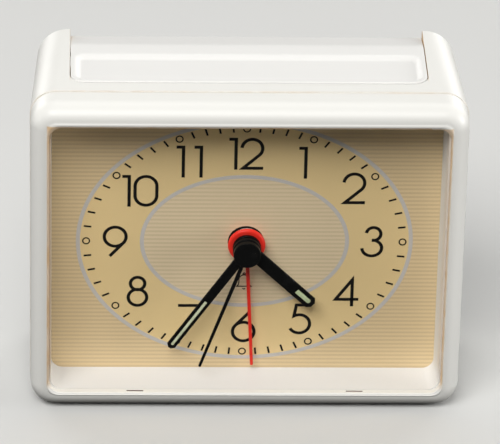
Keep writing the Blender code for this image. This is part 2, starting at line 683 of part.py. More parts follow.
def make_rear_case(looks):
    """White rear shell with the bar's well, the battery bay, posts and openings."""
    bm = bmesh.new()
    tongue = BEZEL_WALL + RIM_STEP + SEAT_GAP
    rim = SEAM_Y + SEAT_GAP / 2
    tongue_front = SEAM_Y - TONGUE_LENGTH
    root = SEAM_Y + TONGUE_ROOT
    rings = [
        across_y(case_outline(REAR_INNER_Y, CASE_WALL), REAR_INNER_Y),
        across_y(case_outline(root, CASE_WALL), root),
        across_y(case_outline(SEAM_Y, tongue + TONGUE_WALL), root),
        across_y(case_outline(SEAM_Y, tongue + TONGUE_WALL), tongue_front),
        across_y(case_outline(SEAM_Y, tongue), tongue_front),
        across_y(case_outline(SEAM_Y, tongue), rim),
        across_y(case_outline(SEAM_Y, 0.0), rim),
    ]
    for step in range(EDGE_STEPS + 1):
        angle = math.radians(90.0 * step / EDGE_STEPS)
        inset = REAR_EDGE_RADIUS * (1 - math.cos(angle))
        y = REAR_Y - REAR_EDGE_RADIUS * (1 - math.sin(angle))
        rings.append(across_y(case_outline(y, inset), y))
    loft(bm, rings)
    case = add_piece("rear_case", bm, looks["case"])

    well_x = SLOT_WIDTH / 2 + WELL_WALL
    well = box_tool(
        (-well_x, DIAL_Y + DIAL_THICKNESS + SEAT_GAP, WELL_FLOOR_Z - WELL_WALL),
        (well_x, REAR_Y - CASE_WALL / 2, CASE_HEIGHT - CASE_WALL / 2),
    )
    shape_with(case, "bar_well", well, "UNION")
    low, high = bay_box()
    bay = box_tool(
        (low[0] - BAY_WALL, low[1] - BAY_WALL, CASE_WALL / 2),
        (high[0] + BAY_WALL, REAR_Y - CASE_WALL / 2, high[2] + BAY_WALL),
    )
    shape_with(case, "battery_bay", bay, "UNION")
    posts = bmesh.new()
    post_end = DIAL_Y + COVER_BACK + SEAT_GAP
    for side in (-1, 1):
        centre = (side * POST_X, DIAL_HEIGHT + POST_RISE)
        add_rod(posts, POST_RADIUS, post_end, REAR_Y - CASE_WALL / 2, SMALL_SIDES, centre)
    shape_with(case, "movement_posts", posts, "UNION")

    shape_with(case, "bar_slot", slot_cutter(), "DIFFERENCE")
    inside = box_tool(low, (high[0], REAR_Y + CUT_OVERRUN, high[2]))
    shape_with(case, "bay_inside", inside, "DIFFERENCE")
    pins = rod_across(PIN_RADIUS + FIT_GAP, well_x + CUT_OVERRUN, PIN_Y, PIN_Z, SMALL_SIDES)
    shape_with(case, "pin_holes", pins, "DIFFERENCE")

    holes = bmesh.new()
    inner = REAR_INNER_Y - CUT_OVERRUN
    outer = REAR_Y + CUT_OVERRUN
    for x, rise in setting_places():
        radius = SHAFT_RADIUS + SHAFT_HOLE_CLEARANCE
        add_rod(holes, radius, inner, outer, SMALL_SIDES, (x, DIAL_HEIGHT + rise))
    half_length = SOUND_SLIT_LENGTH / 2
    half_height = SOUND_SLIT_HEIGHT / 2
    for row in range(SOUND_SLITS):
        z = BUZZER_Z + SOUND_SLIT_PITCH * (row - (SOUND_SLITS - 1) / 2)
        add_box(holes, (-half_length, inner, z - half_height), (half_length, outer, z + half_height))
    left = SWITCH_X - THUMB_WIDTH / 2 - SEAT_GAP
    right = SWITCH_X + THUMB_WIDTH / 2 + SWITCH_TRAVEL + SEAT_GAP
    switch_z = DIAL_HEIGHT + SWITCH_RISE
    half_height = THUMB_HEIGHT / 2 + SEAT_GAP
    add_box(holes, (left, inner, switch_z - half_height), (right, outer, switch_z + half_height))
    shape_with(case, "back_holes", holes, "DIFFERENCE")

    reach_x = BAR_FINGER_WIDTH / 2 + FINGER_HOLE_CLEARANCE
    reach_y = BAR_FINGER_THICKNESS / 2 + FINGER_HOLE_CLEARANCE
    finger_y = SLOT_FRONT_Y + SPRING_OFFSET
    finger_x = finger_place()
    hatch = box_tool(
        (finger_x - reach_x, finger_y - reach_y, WELL_FLOOR_Z - WELL_WALL - CUT_OVERRUN),
        (finger_x + reach_x, finger_y + reach_y, WELL_FLOOR_Z + CUT_OVERRUN),
    )
    shape_with(case, "finger_hole", hatch, "DIFFERENCE")


def finger_place():
    """X of the bar's switch finger, beside the return spring."""
    return -(SPRING_RADIUS + BAR_FINGER_WIDTH + FINGER_HOLE_CLEARANCE)


def make_alarm_bar(looks):
    """Push bar: a shell with a finger recess, sloping down behind its middle."""
    top = CASE_HEIGHT
    front = SLOT_FRONT_Y + BAR_GAP
    rear = REAR_Y - BAR_REAR_INSET
    middle_y = (front + rear) / 2
    width = SLOT_WIDTH - 2 * BAR_GAP
    depth = rear - front

    def outline(inset):
        front_radius = SLOT_CORNER_RADIUS - BAR_GAP - inset
        rear_radius = CORNER_MIN_RADIUS
        radii = (rear_radius, rear_radius, front_radius, front_radius)
        return rounded_rect(width - 2 * inset, depth - 2 * inset, radii, (0.0, middle_y))

    bm = bmesh.new()
    skirt = top - BAR_REAR_SKIRT
    loft(
        bm,
        [
            across_z(outline(BAR_WALL), top - BAR_REAR_DROP - BAR_WALL),
            across_z(outline(BAR_WALL), skirt),
            across_z(outline(0.0), skirt),
            across_z(outline(0.0), top - BAR_EDGE),
            across_z(outline(BAR_EDGE), top),
        ],
    )
    axis = add_axis("alarm_bar_axis", (0.0, PIN_Y, PIN_Z))
    offset = Vector((0.0, -PIN_Y, -PIN_Z))
    bar = add_piece("alarm_bar", bm, looks["bar"], offset, parent=axis)

    slope = math.atan2(BAR_REAR_DROP, BAR_SLOPE_LENGTH)
    wedge = bmesh.new()
    reach = BAR_SLOPE_LENGTH / math.cos(slope) + CUT_OVERRUN
    bend = Vector((0.0, rear - BAR_SLOPE_LENGTH, top))
    add_box(wedge, (-SLOT_WIDTH, 0.0, 0.0), (SLOT_WIDTH, reach, BAR_REAR_SKIRT))
    tilt = Matrix.Translation(bend) @ Matrix.Rotation(-slope, 4, "X")
    bmesh.ops.transform(wedge, matrix=tilt, verts=wedge.verts)
    shape_with(bar, "rear_slope", wedge, "DIFFERENCE")

    skirt_cut = box_tool(
        (-SLOT_WIDTH, front - CUT_OVERRUN, skirt - CUT_OVERRUN),
        (SLOT_WIDTH, rear - BAR_WALL - SEAT_GAP, top - BAR_SKIRT),
    )
    shape_with(bar, "short_skirt", skirt_cut, "DIFFERENCE")

    recess = bmesh.new()
    centre = (0.0, front + RECESS_SETBACK + RECESS_WIDTH / 2)
    length = width - 2 * RECESS_END_MARGIN
    for_top = rounded_rect(length, RECESS_WIDTH, RECESS_WIDTH / 2, centre)
    bed_width = RECESS_WIDTH - 2 * RECESS_SLOPE
    for_bed = rounded_rect(length - 2 * RECESS_SLOPE, bed_width, bed_width / 2, centre)
    bed = across_z(for_bed, top - RECESS_DEPTH)
    loft(recess, [bed, across_z(for_top, top), across_z(for_top, top + CUT_OVERRUN)])
    shape_with(bar, "finger_recess", recess, "DIFFERENCE")

    pins = rod_across(PIN_RADIUS + FIT_GAP, SLOT_WIDTH, PIN_Y, PIN_Z, SMALL_SIDES)
    shape_with(bar, "pin_holes", pins, "DIFFERENCE")

    finger_y = SLOT_FRONT_Y + SPRING_OFFSET
    finger_x = finger_place()
    half_x = BAR_FINGER_WIDTH / 2
    half_y = BAR_FINGER_THICKNESS / 2
    root = top - BAR_REAR_DROP - BAR_WALL / 2
    finger = box_tool(
        (finger_x - half_x, finger_y - half_y, top - BAR_FINGER_LENGTH),
        (finger_x + half_x, finger_y + half_y, root),
    )
    shape_with(bar, "switch_finger", finger, "UNION")


def make_bar_pins(looks):
    """Two steel pins that carry the bar in the cheeks of its well."""
    inner = SLOT_WIDTH / 2 - PIN_REACH
    outer = SLOT_WIDTH / 2 + WELL_WALL + PIN_END_CLEARANCE
    for name, side in (("left", -1), ("right", 1)):
        bm = bmesh.new()
        outline = circle(PIN_RADIUS, SMALL_SIDES, (PIN_Y, PIN_Z))
        loft(bm, [across_x(outline, side * inner), across_x(outline, side * outer)])
        add_piece(f"bar_pivot_pin_{name}", bm, looks["steel"])


def coil_points(radius, turns, length):
    """Points of a helix about +Z from the origin, evenly spaced."""
    count = turns * COIL_POINTS
    points = []
    for i in range(count + 1):
        angle = math.tau * i / COIL_POINTS
        points.append(Vector((radius * math.cos(angle), radius * math.sin(angle), length * i / count)))
    return points


def least_coil_gap(points, wire_radius):
    """Least free distance between turns, half a turn or more apart along the wire."""
    apart = COIL_POINTS // 2
    nearest = min(
        (points[i] - points[j]).length for i in range(len(points)) for j in range(i + apart, len(points))
    )
    return nearest - 2 * wire_radius


def add_coil(name, points, wire_radius, material, place, turn=(0.0, 0.0, 0.0)):
    """Make one unbroken round wire through the points, with closed ends."""
    curve = bpy.data.curves.new(name, "CURVE")
    curve.dimensions = "3D"
    curve.bevel_depth = wire_radius
    curve.bevel_resolution = 1
    curve.use_fill_caps = True
    spline = curve.splines.new("POLY")
    spline.points.add(len(points) - 1)
    for target, point in zip(spline.points, points):
        target.co = (*point, 1.0)
    obj = bpy.data.objects.new(name, curve)
    bpy.context.scene.collection.objects.link(obj)
    obj.data.materials.append(material)
    obj.location = place
    obj.rotation_euler = turn
    print(f"{name}: least gap between turns {least_coil_gap(points, wire_radius) * 1000:.2f} mm")


def make_bar_spring(looks):
    """Coil spring under the bar that brings it back up."""
    bottom = WELL_FLOOR_Z + SEAT_GAP + SPRING_WIRE_RADIUS
    top = CASE_HEIGHT - BAR_REAR_DROP - BAR_WALL - SEAT_GAP - SPRING_WIRE_RADIUS
    points = coil_points(SPRING_RADIUS, SPRING_TURNS, top - bottom)
    place = (0.0, SLOT_FRONT_Y + SPRING_OFFSET, bottom)
    add_coil("bar_return_spring", points, SPRING_WIRE_RADIUS, looks["steel"], place)


def make_battery(looks):
    """One round cell, its nub towards the flat contact."""
    low, high = bay_box()
    centre_y = high[1] - SEAT_GAP - BATTERY_RADIUS
    centre_z = (low[2] + high[2]) / 2
    nub_start = low[0] + 2 * SEAT_GAP + CONTACT_THICKNESS
    body_start = nub_start + BATTERY_NUB_LENGTH
    stations = (
        (BATTERY_NUB_RADIUS, nub_start),
        (BATTERY_NUB_RADIUS, body_start),
        (BATTERY_RADIUS, body_start),
        (BATTERY_RADIUS, body_start + BATTERY_LENGTH),
    )
    bm = bmesh.new()
    loft(bm, [across_x(circle(radius, LARGE_SIDES, (centre_y, centre_z)), x) for radius, x in stations])
    add_piece("battery", bm, looks["cell"])

    plate_low = (low[0] + SEAT_GAP, centre_y - CONTACT_SIZE / 2, centre_z - CONTACT_SIZE / 2)
    plate_high = (plate_low[0] + CONTACT_THICKNESS, centre_y + CONTACT_SIZE / 2, centre_z + CONTACT_SIZE / 2)
    add_piece("battery_plate_contact", box_tool(plate_low, plate_high), looks["steel"])

    spring_start = body_start + BATTERY_LENGTH + SEAT_GAP + CONTACT_WIRE_RADIUS
    spring_end = high[0] - SEAT_GAP - CONTACT_WIRE_RADIUS
    points = coil_points(CONTACT_SPRING_RADIUS, CONTACT_TURNS, spring_end - spring_start)
    place = (spring_start, centre_y, centre_z)
    along_x = (0.0, math.radians(90.0), 0.0)
    add_coil("battery_spring_contact", points, CONTACT_WIRE_RADIUS, looks["steel"], place, along_x)


def make_battery_door(looks):
    """Cover of the battery bay, flush with the back, with ribs for the thumb."""
    low, high = bay_box()
    width = high[0] - low[0] - 2 * SEAT_GAP
    height = high[2] - low[2] - 2 * SEAT_GAP
    middle_z = (low[2] + high[2]) / 2
    outline = rounded_rect(width, height, DOOR_CORNER_RADIUS, (0.0, middle_z))
    bm = bmesh.new()
    loft(bm, [across_y(outline, REAR_Y - DOOR_THICKNESS), across_y(outline, REAR_Y)])
    door = add_piece("battery_door", bm, looks["case"])
    ribs = bmesh.new()
    for row in range(DOOR_RIBS):
        z = middle_z + DOOR_RIB_PITCH * (row - (DOOR_RIBS - 1) / 2)
        low_corner = (-DOOR_RIB_LENGTH / 2, REAR_Y - DOOR_RIB_HEIGHT, z - DOOR_RIB_WIDTH / 2)
        high_corner = (DOOR_RIB_LENGTH / 2, REAR_Y + DOOR_RIB_HEIGHT, z + DOOR_RIB_WIDTH / 2)
        add_box(ribs, low_corner, high_corner)
    shape_with(door, "grip_ribs", ribs, "UNION")


def make_alarm_switch(looks):
    """Slide switch on the back that arms the alarm."""
    z = DIAL_HEIGHT + SWITCH_RISE
    bm = box_tool(
        (-THUMB_WIDTH / 2, REAR_INNER_Y - SEAT_GAP - SWITCH_FLANGE_THICKNESS / 2, z - THUMB_HEIGHT / 2),
        (THUMB_WIDTH / 2, REAR_Y + THUMB_PROUD, z + THUMB_HEIGHT / 2),
    )
    slider = add_piece("alarm_switch_slider", bm, looks["black"], (SWITCH_X, 0.0, 0.0))
    reach_x = THUMB_WIDTH / 2 + SWITCH_TRAVEL + SWITCH_FLANGE_MARGIN
    reach_z = THUMB_HEIGHT / 2 + SWITCH_FLANGE_MARGIN
    flange = box_tool(
        (-reach_x, REAR_INNER_Y - SEAT_GAP - SWITCH_FLANGE_THICKNESS, z - reach_z),
        (reach_x, REAR_INNER_Y - SEAT_GAP, z + reach_z),
    )
    shape_with(slider, "flange", flange, "UNION")


def make_buzzer(looks):
    """Sounder: a shallow cup behind the slits, with a thin metal disc in it."""
    centre = (0.0, BUZZER_Z)
    open_end = REAR_INNER_Y - SEAT_GAP
    closed_end = open_end - BUZZER_DEPTH
    inner = BUZZER_RADIUS - BUZZER_WALL
    bm = bmesh.new()
    profile = (
        (BUZZER_RADIUS, closed_end),
        (BUZZER_RADIUS, open_end),
        (inner, open_end),
        (inner, closed_end + BUZZER_WALL),
    )
    add_turned(bm, profile, LARGE_SIDES, centre)
    add_piece("buzzer_cup", bm, looks["black"])
    disc = bmesh.new()
    start = closed_end + BUZZER_WALL + SEAT_GAP
    add_rod(disc, inner - SEAT_GAP, start, start + PIEZO_THICKNESS, LARGE_SIDES, centre)
    add_piece("piezo_disc", disc, looks["brass"])


def gear_outline(teeth, module, phase=0.0):
    """Points round a gear of straight-sided teeth; one tooth points at phase degrees."""
    pitch = math.tau / teeth
    root = module * (teeth / 2 - DEDENDUM_SHARE)
    tip = module * (teeth / 2 + ADDENDUM_SHARE)
    points = []
    for i in range(teeth):
        middle = math.radians(phase) + pitch * i
        corners = (
            (-TOOTH_ROOT_SHARE, root),
            (-TOOTH_TIP_SHARE, tip),
            (TOOTH_TIP_SHARE, tip),
            (TOOTH_ROOT_SHARE, root),
        )
        for share, radius in corners:
            angle = middle + share * pitch
            points.append((radius * math.sin(angle), radius * math.cos(angle)))
    return points


def add_gear(bm, teeth, module, start, end, phase=0.0):
    """Add a toothed disc about the Y axis, from start to end."""
    outline = gear_outline(teeth, module, phase)
    loft(bm, [across_y(outline, y) for y in (start, end)])


def meshed_phase(direction, teeth, phase, other_teeth):
    """Phase of a gear so that its teeth fall in the gaps of its mate.

    direction is the way from the mate to this gear, in degrees clockwise from up.
    """
    ahead = ((direction - phase) * teeth / 360.0) % 1.0
    pitch = 360.0 / other_teeth
    return (direction + 180.0 + (ahead + 0.5) * pitch) % pitch


def bearing(start, end):
    """Direction from one place to another, in degrees clockwise from up."""
    return math.degrees(math.atan2(end[0] - start[0], end[1] - start[1]))


def stepped(start, turn, distance):
    """Place at a distance from start, along a turn clockwise from up."""
    angle = math.radians(turn)
    return (start[0] + distance * math.sin(angle), start[1] + distance * math.cos(angle))


def train_places():
    """X and height above the dial's middle of every arbor in the movement."""
    hands = (0.0, 0.0)
    alarm_set, time_set = setting_places()
    third = stepped(hands, THIRD_WHEEL_TURN, MODULE * (TRAIN_PINION_TEETH + THIRD_WHEEL_TEETH) / 2)
    rotor_wheel = stepped(hands, ROTOR_WHEEL_TURN, MODULE * (TRAIN_PINION_TEETH + SECONDS_WHEEL_TEETH) / 2)
    rotor = stepped(rotor_wheel, ROTOR_TURN, ROTOR_MODULE * (TRAIN_PINION_TEETH + ROTOR_WHEEL_TEETH) / 2)
    minute_wheel = stepped(hands, bearing(hands, time_set), motion_distance())
    return {
        "hands": hands,
        "third": third,
        "rotor_wheel": rotor_wheel,
        "rotor": rotor,
        "minute_wheel": minute_wheel,
        "alarm_set": alarm_set,
        "time_set": time_set,
    }


def at_dial(place):
    """World place of an arbor, on the dial's face."""
    return (place[0], DIAL_Y, DIAL_HEIGHT + place[1])


def make_movement_frame(looks, places):
    """Front half of the movement case: tray, collar, bosses, pillars and a stud."""
    middle = (0.0, MOVEMENT_MID)
    outline = rounded_rect(MOVEMENT_WIDTH, MOVEMENT_HEIGHT, MOVEMENT_CORNER, middle)
    inner_width = MOVEMENT_WIDTH - 2 * MOVEMENT_WALL
    inner_height = MOVEMENT_HEIGHT - 2 * MOVEMENT_WALL
    inside = rounded_rect(inner_width, inner_height, MOVEMENT_CORNER - MOVEMENT_WALL, middle)
    rim = COVER_FRONT - SEAT_GAP
    bm = bmesh.new()
    loft(
        bm,
        [
            across_y(outline, FRAME_FRONT),
            across_y(outline, rim),
            across_y(inside, rim),
            across_y(inside, FRAME_BACK),
        ],
    )
    frame = add_piece("movement_frame", bm, looks["natural"], at_dial(places["hands"]))

    bore = ALARM_TUBE_RADIUS + FIT_GAP
    embed = MOVEMENT_WALL / 2
    adds = bmesh.new()
    add_rod(adds, bore + COLLAR_WALL, -COLLAR_PROUD, FRAME_BACK - embed, SMALL_SIDES)
    for place in boss_places():
        add_rod(adds, BOSS_RADIUS, FRAME_BACK - embed, rim - embed, THIN_SIDES, place)
    for place in bridge_pillars(places):
        add_rod(adds, PILLAR_RADIUS, FRAME_BACK - embed, BRIDGE_AT - SEAT_GAP, THIN_SIDES, place)
    for side in (-1, 1):
        centre = (BOARD_X, MOVEMENT_MID + side * (BOARD_HEIGHT / 2 - BOARD_PILLAR_INSET))
        add_rod(adds, PILLAR_RADIUS, FRAME_BACK - embed, BOARD_SETBACK - SEAT_GAP, THIN_SIDES, centre)
    stud_end = MINUTE_WHEEL_AT + WHEEL_THICKNESS + PINION_OVERHANG
    add_rod(adds, STUD_RADIUS, FRAME_BACK - embed, stud_end, THIN_SIDES, places["minute_wheel"])
    shape_with(frame, "posts", adds, "UNION")

    cuts = bmesh.new()
    add_rod(cuts, bore, -COLLAR_PROUD - CUT_OVERRUN, FRAME_BACK + CUT_OVERRUN, SMALL_SIDES)
    for place in boss_places():
        start = screw_tip() - SEAT_GAP
        add_rod(cuts, SCREW_RADIUS + FIT_GAP, start, rim + CUT_OVERRUN, THIN_SIDES, place)
    shape_with(frame, "bores", cuts, "DIFFERENCE")


def boss_places():
    """The four screw bosses in the corners of the movement."""
    x = MOVEMENT_WIDTH / 2 - BOSS_INSET
    z = MOVEMENT_HEIGHT / 2 - BOSS_INSET
    return [(side * x, MOVEMENT_MID + rise * z) for side in (-1, 1) for rise in (-1, 1)]


def screw_tip():
    """Depth behind the dial face that the movement screws reach to."""
    return COVER_BACK + SEAT_GAP - SCREW_LENGTH


def stator_edge(places):
    """X of the stator's edge beside the rotor, on the coil's side."""
    return places["rotor"][0] + MAGNET_RADIUS + STATOR_GAP + STATOR_RIM


def core_middle(places):
    """X of the coil's core, midway between the stator beside the rotor and the movement's wall."""
    return (stator_edge(places) + MOVEMENT_INNER) / 2


def bridge_box(places):
    """Low and high X and height of the bridge, round the arbors it carries and up to the coil."""
    carried = [places[name] for name in ("hands", "third", "rotor_wheel", "rotor")]
    low = (min(p[0] for p in carried) - BRIDGE_MARGIN, min(p[1] for p in carried) - BRIDGE_MARGIN)
    coil_side = core_middle(places) - BOBBIN_FLANGE_RADIUS
    high = (coil_side - SEAT_GAP, max(p[1] for p in carried) + BRIDGE_MARGIN)
    return low, high


def bridge_pillars(places):
    """The two pillars that carry the bridge, at its free end."""
    low, high = bridge_box(places)
    x = high[0] - PILLAR_RADIUS
    return [(x, low[1] + PILLAR_RADIUS), (x, high[1] - PILLAR_RADIUS)]


def make_bridge(looks, places):
    """Thin plate between the motion work and the going train."""
    low, high = bridge_box(places)
    bm = box_tool((low[0], BRIDGE_AT, low[1]), (high[0], BRIDGE_BACK, high[1]))
    bridge = add_piece("train_bridge", bm, looks["natural"], at_dial(places["hands"]))
    holes = bmesh.new()
    start = BRIDGE_AT - CUT_OVERRUN
    end = BRIDGE_BACK + CUT_OVERRUN
    add_rod(holes, ARBOR_RADIUS + FIT_GAP, start, end, THIN_SIDES)
    third_tip = third_module() * (TRAIN_PINION_TEETH / 2 + ADDENDUM_SHARE)
    add_rod(holes, third_tip + SEAT_GAP, start, end, SMALL_SIDES, places["third"])
    shape_with(bridge, "arbor_holes", holes, "DIFFERENCE")


def make_movement_cover(looks, places):
    """Back plate of the movement, with holes for the setting shafts and screws."""
    outline = rounded_rect(MOVEMENT_WIDTH, MOVEMENT_HEIGHT, MOVEMENT_CORNER, (0.0, MOVEMENT_MID))
    bm = bmesh.new()
    loft(bm, [across_y(outline, COVER_FRONT), across_y(outline, COVER_BACK)])
    cover = add_piece("movement_cover", bm, looks["natural"], at_dial(places["hands"]))
    holes = bmesh.new()
    start = COVER_FRONT - CUT_OVERRUN
    end = COVER_BACK + CUT_OVERRUN
    for name in ("alarm_set", "time_set"):
        add_rod(holes, SHAFT_RADIUS + SHAFT_HOLE_CLEARANCE, start, end, SMALL_SIDES, places[name])
    for place in boss_places():
        add_rod(holes, SCREW_RADIUS + SEAT_GAP, start, end, THIN_SIDES, place)
    shape_with(cover, "holes", holes, "DIFFERENCE")


def make_movement_screws(looks, places):
    """Four round-head screws that hold the movement together."""
    head = COVER_BACK + SEAT_GAP
    profile = (
        (SCREW_RADIUS, screw_tip()),
        (SCREW_RADIUS, head),
        (SCREW_HEAD_RADIUS, head),
        (SCREW_HEAD_RADIUS, head + SCREW_HEAD_HEIGHT),
    )
    for number, place in enumerate(boss_places(), start=1):
        bm = bmesh.new()
        add_turned(bm, profile, THIN_SIDES)
        centre = (places["hands"][0] + place[0], places["hands"][1] + place[1])
        screw = add_piece(f"movement_screw_{number}", bm, looks["steel"], at_dial(centre))
        slot = box_tool(
            (-SCREW_HEAD_RADIUS, head + SCREW_HEAD_HEIGHT / 2, -SCREW_SLOT / 2),
            (SCREW_HEAD_RADIUS, head + SCREW_HEAD_HEIGHT + CUT_OVERRUN, SCREW_SLOT / 2),
        )
        shape_with(screw, "driver_slot", slot, "DIFFERENCE")


def third_module():
    """Module of the centre wheel's mesh, so that it has the third wheel's distance."""
    distance = MODULE * (TRAIN_PINION_TEETH + THIRD_WHEEL_TEETH) / 2
    return 2 * distance / (TRAIN_PINION_TEETH + CENTRE_WHEEL_TEETH)


def make_alarm_wheel(looks, axis):
    """Alarm wheel and its tube, which carries the red hand."""
    bm = bmesh.new()
    end = ALARM_WHEEL_AT + WHEEL_THICKNESS
    add_gear(bm, ALARM_WHEEL_TEETH, MODULE, ALARM_WHEEL_AT, end)
    wheel = add_piece("alarm_wheel", bm, looks["natural"], parent=axis)
    tube_front = -(ALARM_DISC_SETOFF + ALARM_DISC_THICKNESS)
    tube = rod_tool(ALARM_TUBE_RADIUS, tube_front, end - WHEEL_THICKNESS / 2, SMALL_SIDES)
    shape_with(wheel, "tube", tube, "UNION")
    inner = ALARM_TUBE_RADIUS - TUBE_WALL
    bore = rod_tool(inner, tube_front - CUT_OVERRUN, end + CUT_OVERRUN, SMALL_SIDES)
    shape_with(wheel, "bore", bore, "DIFFERENCE")


def make_hour_wheel(looks, axis, phase):
    """Hour wheel and its tube."""
    bm = bmesh.new()
    end = HOUR_WHEEL_AT + WHEEL_THICKNESS
    add_gear(bm, HOUR_WHEEL_TEETH, MODULE, HOUR_WHEEL_AT, end, phase)
    wheel = add_piece("hour_wheel", bm, looks["natural"], parent=axis)
    tube_front = -(HOUR_HAND_SETOFF + HUB_THICKNESS)
    tube = rod_tool(HOUR_TUBE_RADIUS, tube_front, end - WHEEL_THICKNESS / 2, SMALL_SIDES)
    shape_with(wheel, "tube", tube, "UNION")
    inner = HOUR_TUBE_RADIUS - TUBE_WALL
    bore = rod_tool(inner, tube_front - CUT_OVERRUN, end + CUT_OVERRUN, SMALL_SIDES)
    shape_with(wheel, "bore", bore, "DIFFERENCE")


def make_minute_tube(looks, axis):
    """Minute tube with its driving pinion; the centre wheel grips its tail."""
    bm = bmesh.new()
    add_gear(bm, MOTION_PINION_TEETH, motion_module(), MINUTE_PINION_AT, MINUTE_PINION_END)
    tube = add_piece("minute_tube", bm, looks["brass"], parent=axis)
    tube_front = -(MINUTE_HAND_SETOFF + HUB_THICKNESS)
    tail = CENTRE_WHEEL_AT + WHEEL_THICKNESS + PINION_OVERHANG
    shape_with(tube, "barrel", rod_tool(MINUTE_TUBE_RADIUS, tube_front, tail, SMALL_SIDES), "UNION")
    inner = ARBOR_RADIUS + FIT_GAP
    bore = rod_tool(inner, tube_front - CUT_OVERRUN, tail + CUT_OVERRUN, THIN_SIDES)
    shape_with(tube, "bore", bore, "DIFFERENCE")


def make_minute_wheel(looks, places, axis):
    """Minute wheel and pinion, which turn on a stud of the frame.

    Returns the phase that puts the hour wheel in mesh with the pinion.
    """
    direction = bearing(places["hands"], places["minute_wheel"])
    phase = meshed_phase(direction, MOTION_PINION_TEETH, 0.0, MINUTE_WHEEL_TEETH)
    bm = bmesh.new()
    end = MINUTE_WHEEL_AT + WHEEL_THICKNESS
    add_gear(bm, MINUTE_WHEEL_TEETH, motion_module(), MINUTE_WHEEL_AT, end, phase)
    wheel = add_piece("minute_wheel", bm, looks["natural"], parent=axis)
    pinion = bmesh.new()
    pinion_start = HOUR_WHEEL_AT - PINION_OVERHANG
    add_gear(pinion, MOTION_PINION_TEETH, MODULE, pinion_start, end - WHEEL_THICKNESS / 2)
    shape_with(wheel, "pinion", pinion, "UNION")
    bore = rod_tool(STUD_RADIUS + FIT_GAP, pinion_start - CUT_OVERRUN, end + CUT_OVERRUN, THIN_SIDES)
    shape_with(wheel, "bore", bore, "DIFFERENCE")
    return phase, meshed_phase(direction + 180.0, MOTION_PINION_TEETH, 0.0, HOUR_WHEEL_TEETH)


def add_knob(name, material, axis, start, end):
    """Add a ribbed round knob about the axis, with a blind bore for its shaft."""
    points = []
    for i in range(2 * KNOB_RIBS):
        radius = KNOB_RADIUS - KNOB_RIB_DEPTH * (i % 2)
        angle = math.tau * i / (2 * KNOB_RIBS)
        points.append((radius * math.sin(angle), radius * math.cos(angle)))
    bm = bmesh.new()
    loft(bm, [across_y(points, start), across_y(points, end)])
    knob = add_piece(name, bm, material, parent=axis)
    bore = rod_tool(SHAFT_RADIUS + FIT_GAP, start - CUT_OVERRUN, start + KNOB_BORE_DEPTH, SMALL_SIDES)
    shape_with(knob, "bore", bore, "DIFFERENCE")


def make_setting(looks, name, axis, gear):
    """Setting shaft with its gear at the front and its knob at the back.

    gear holds the count of teeth, the module, the depth of its front and its phase.
    """
    teeth, module, gear_at, phase = gear
    knob_start = REAR_Y - DIAL_Y + KNOB_GAP
    knob_end = REAR_Y - DIAL_Y + KNOB_PROUD
    bm = bmesh.new()
    add_gear(bm, teeth, module, gear_at, gear_at + WHEEL_THICKNESS, phase)
    shaft = add_piece(f"{name}_shaft", bm, looks["natural"], parent=axis)
    rod_end = knob_start + KNOB_BORE_DEPTH - SEAT_GAP
    rod = rod_tool(SHAFT_RADIUS, gear_at + WHEEL_THICKNESS / 2, rod_end, SMALL_SIDES)
    shape_with(shaft, "rod", rod, "UNION")
    add_knob(f"{name}_knob", looks["black"], axis, knob_start, knob_end)


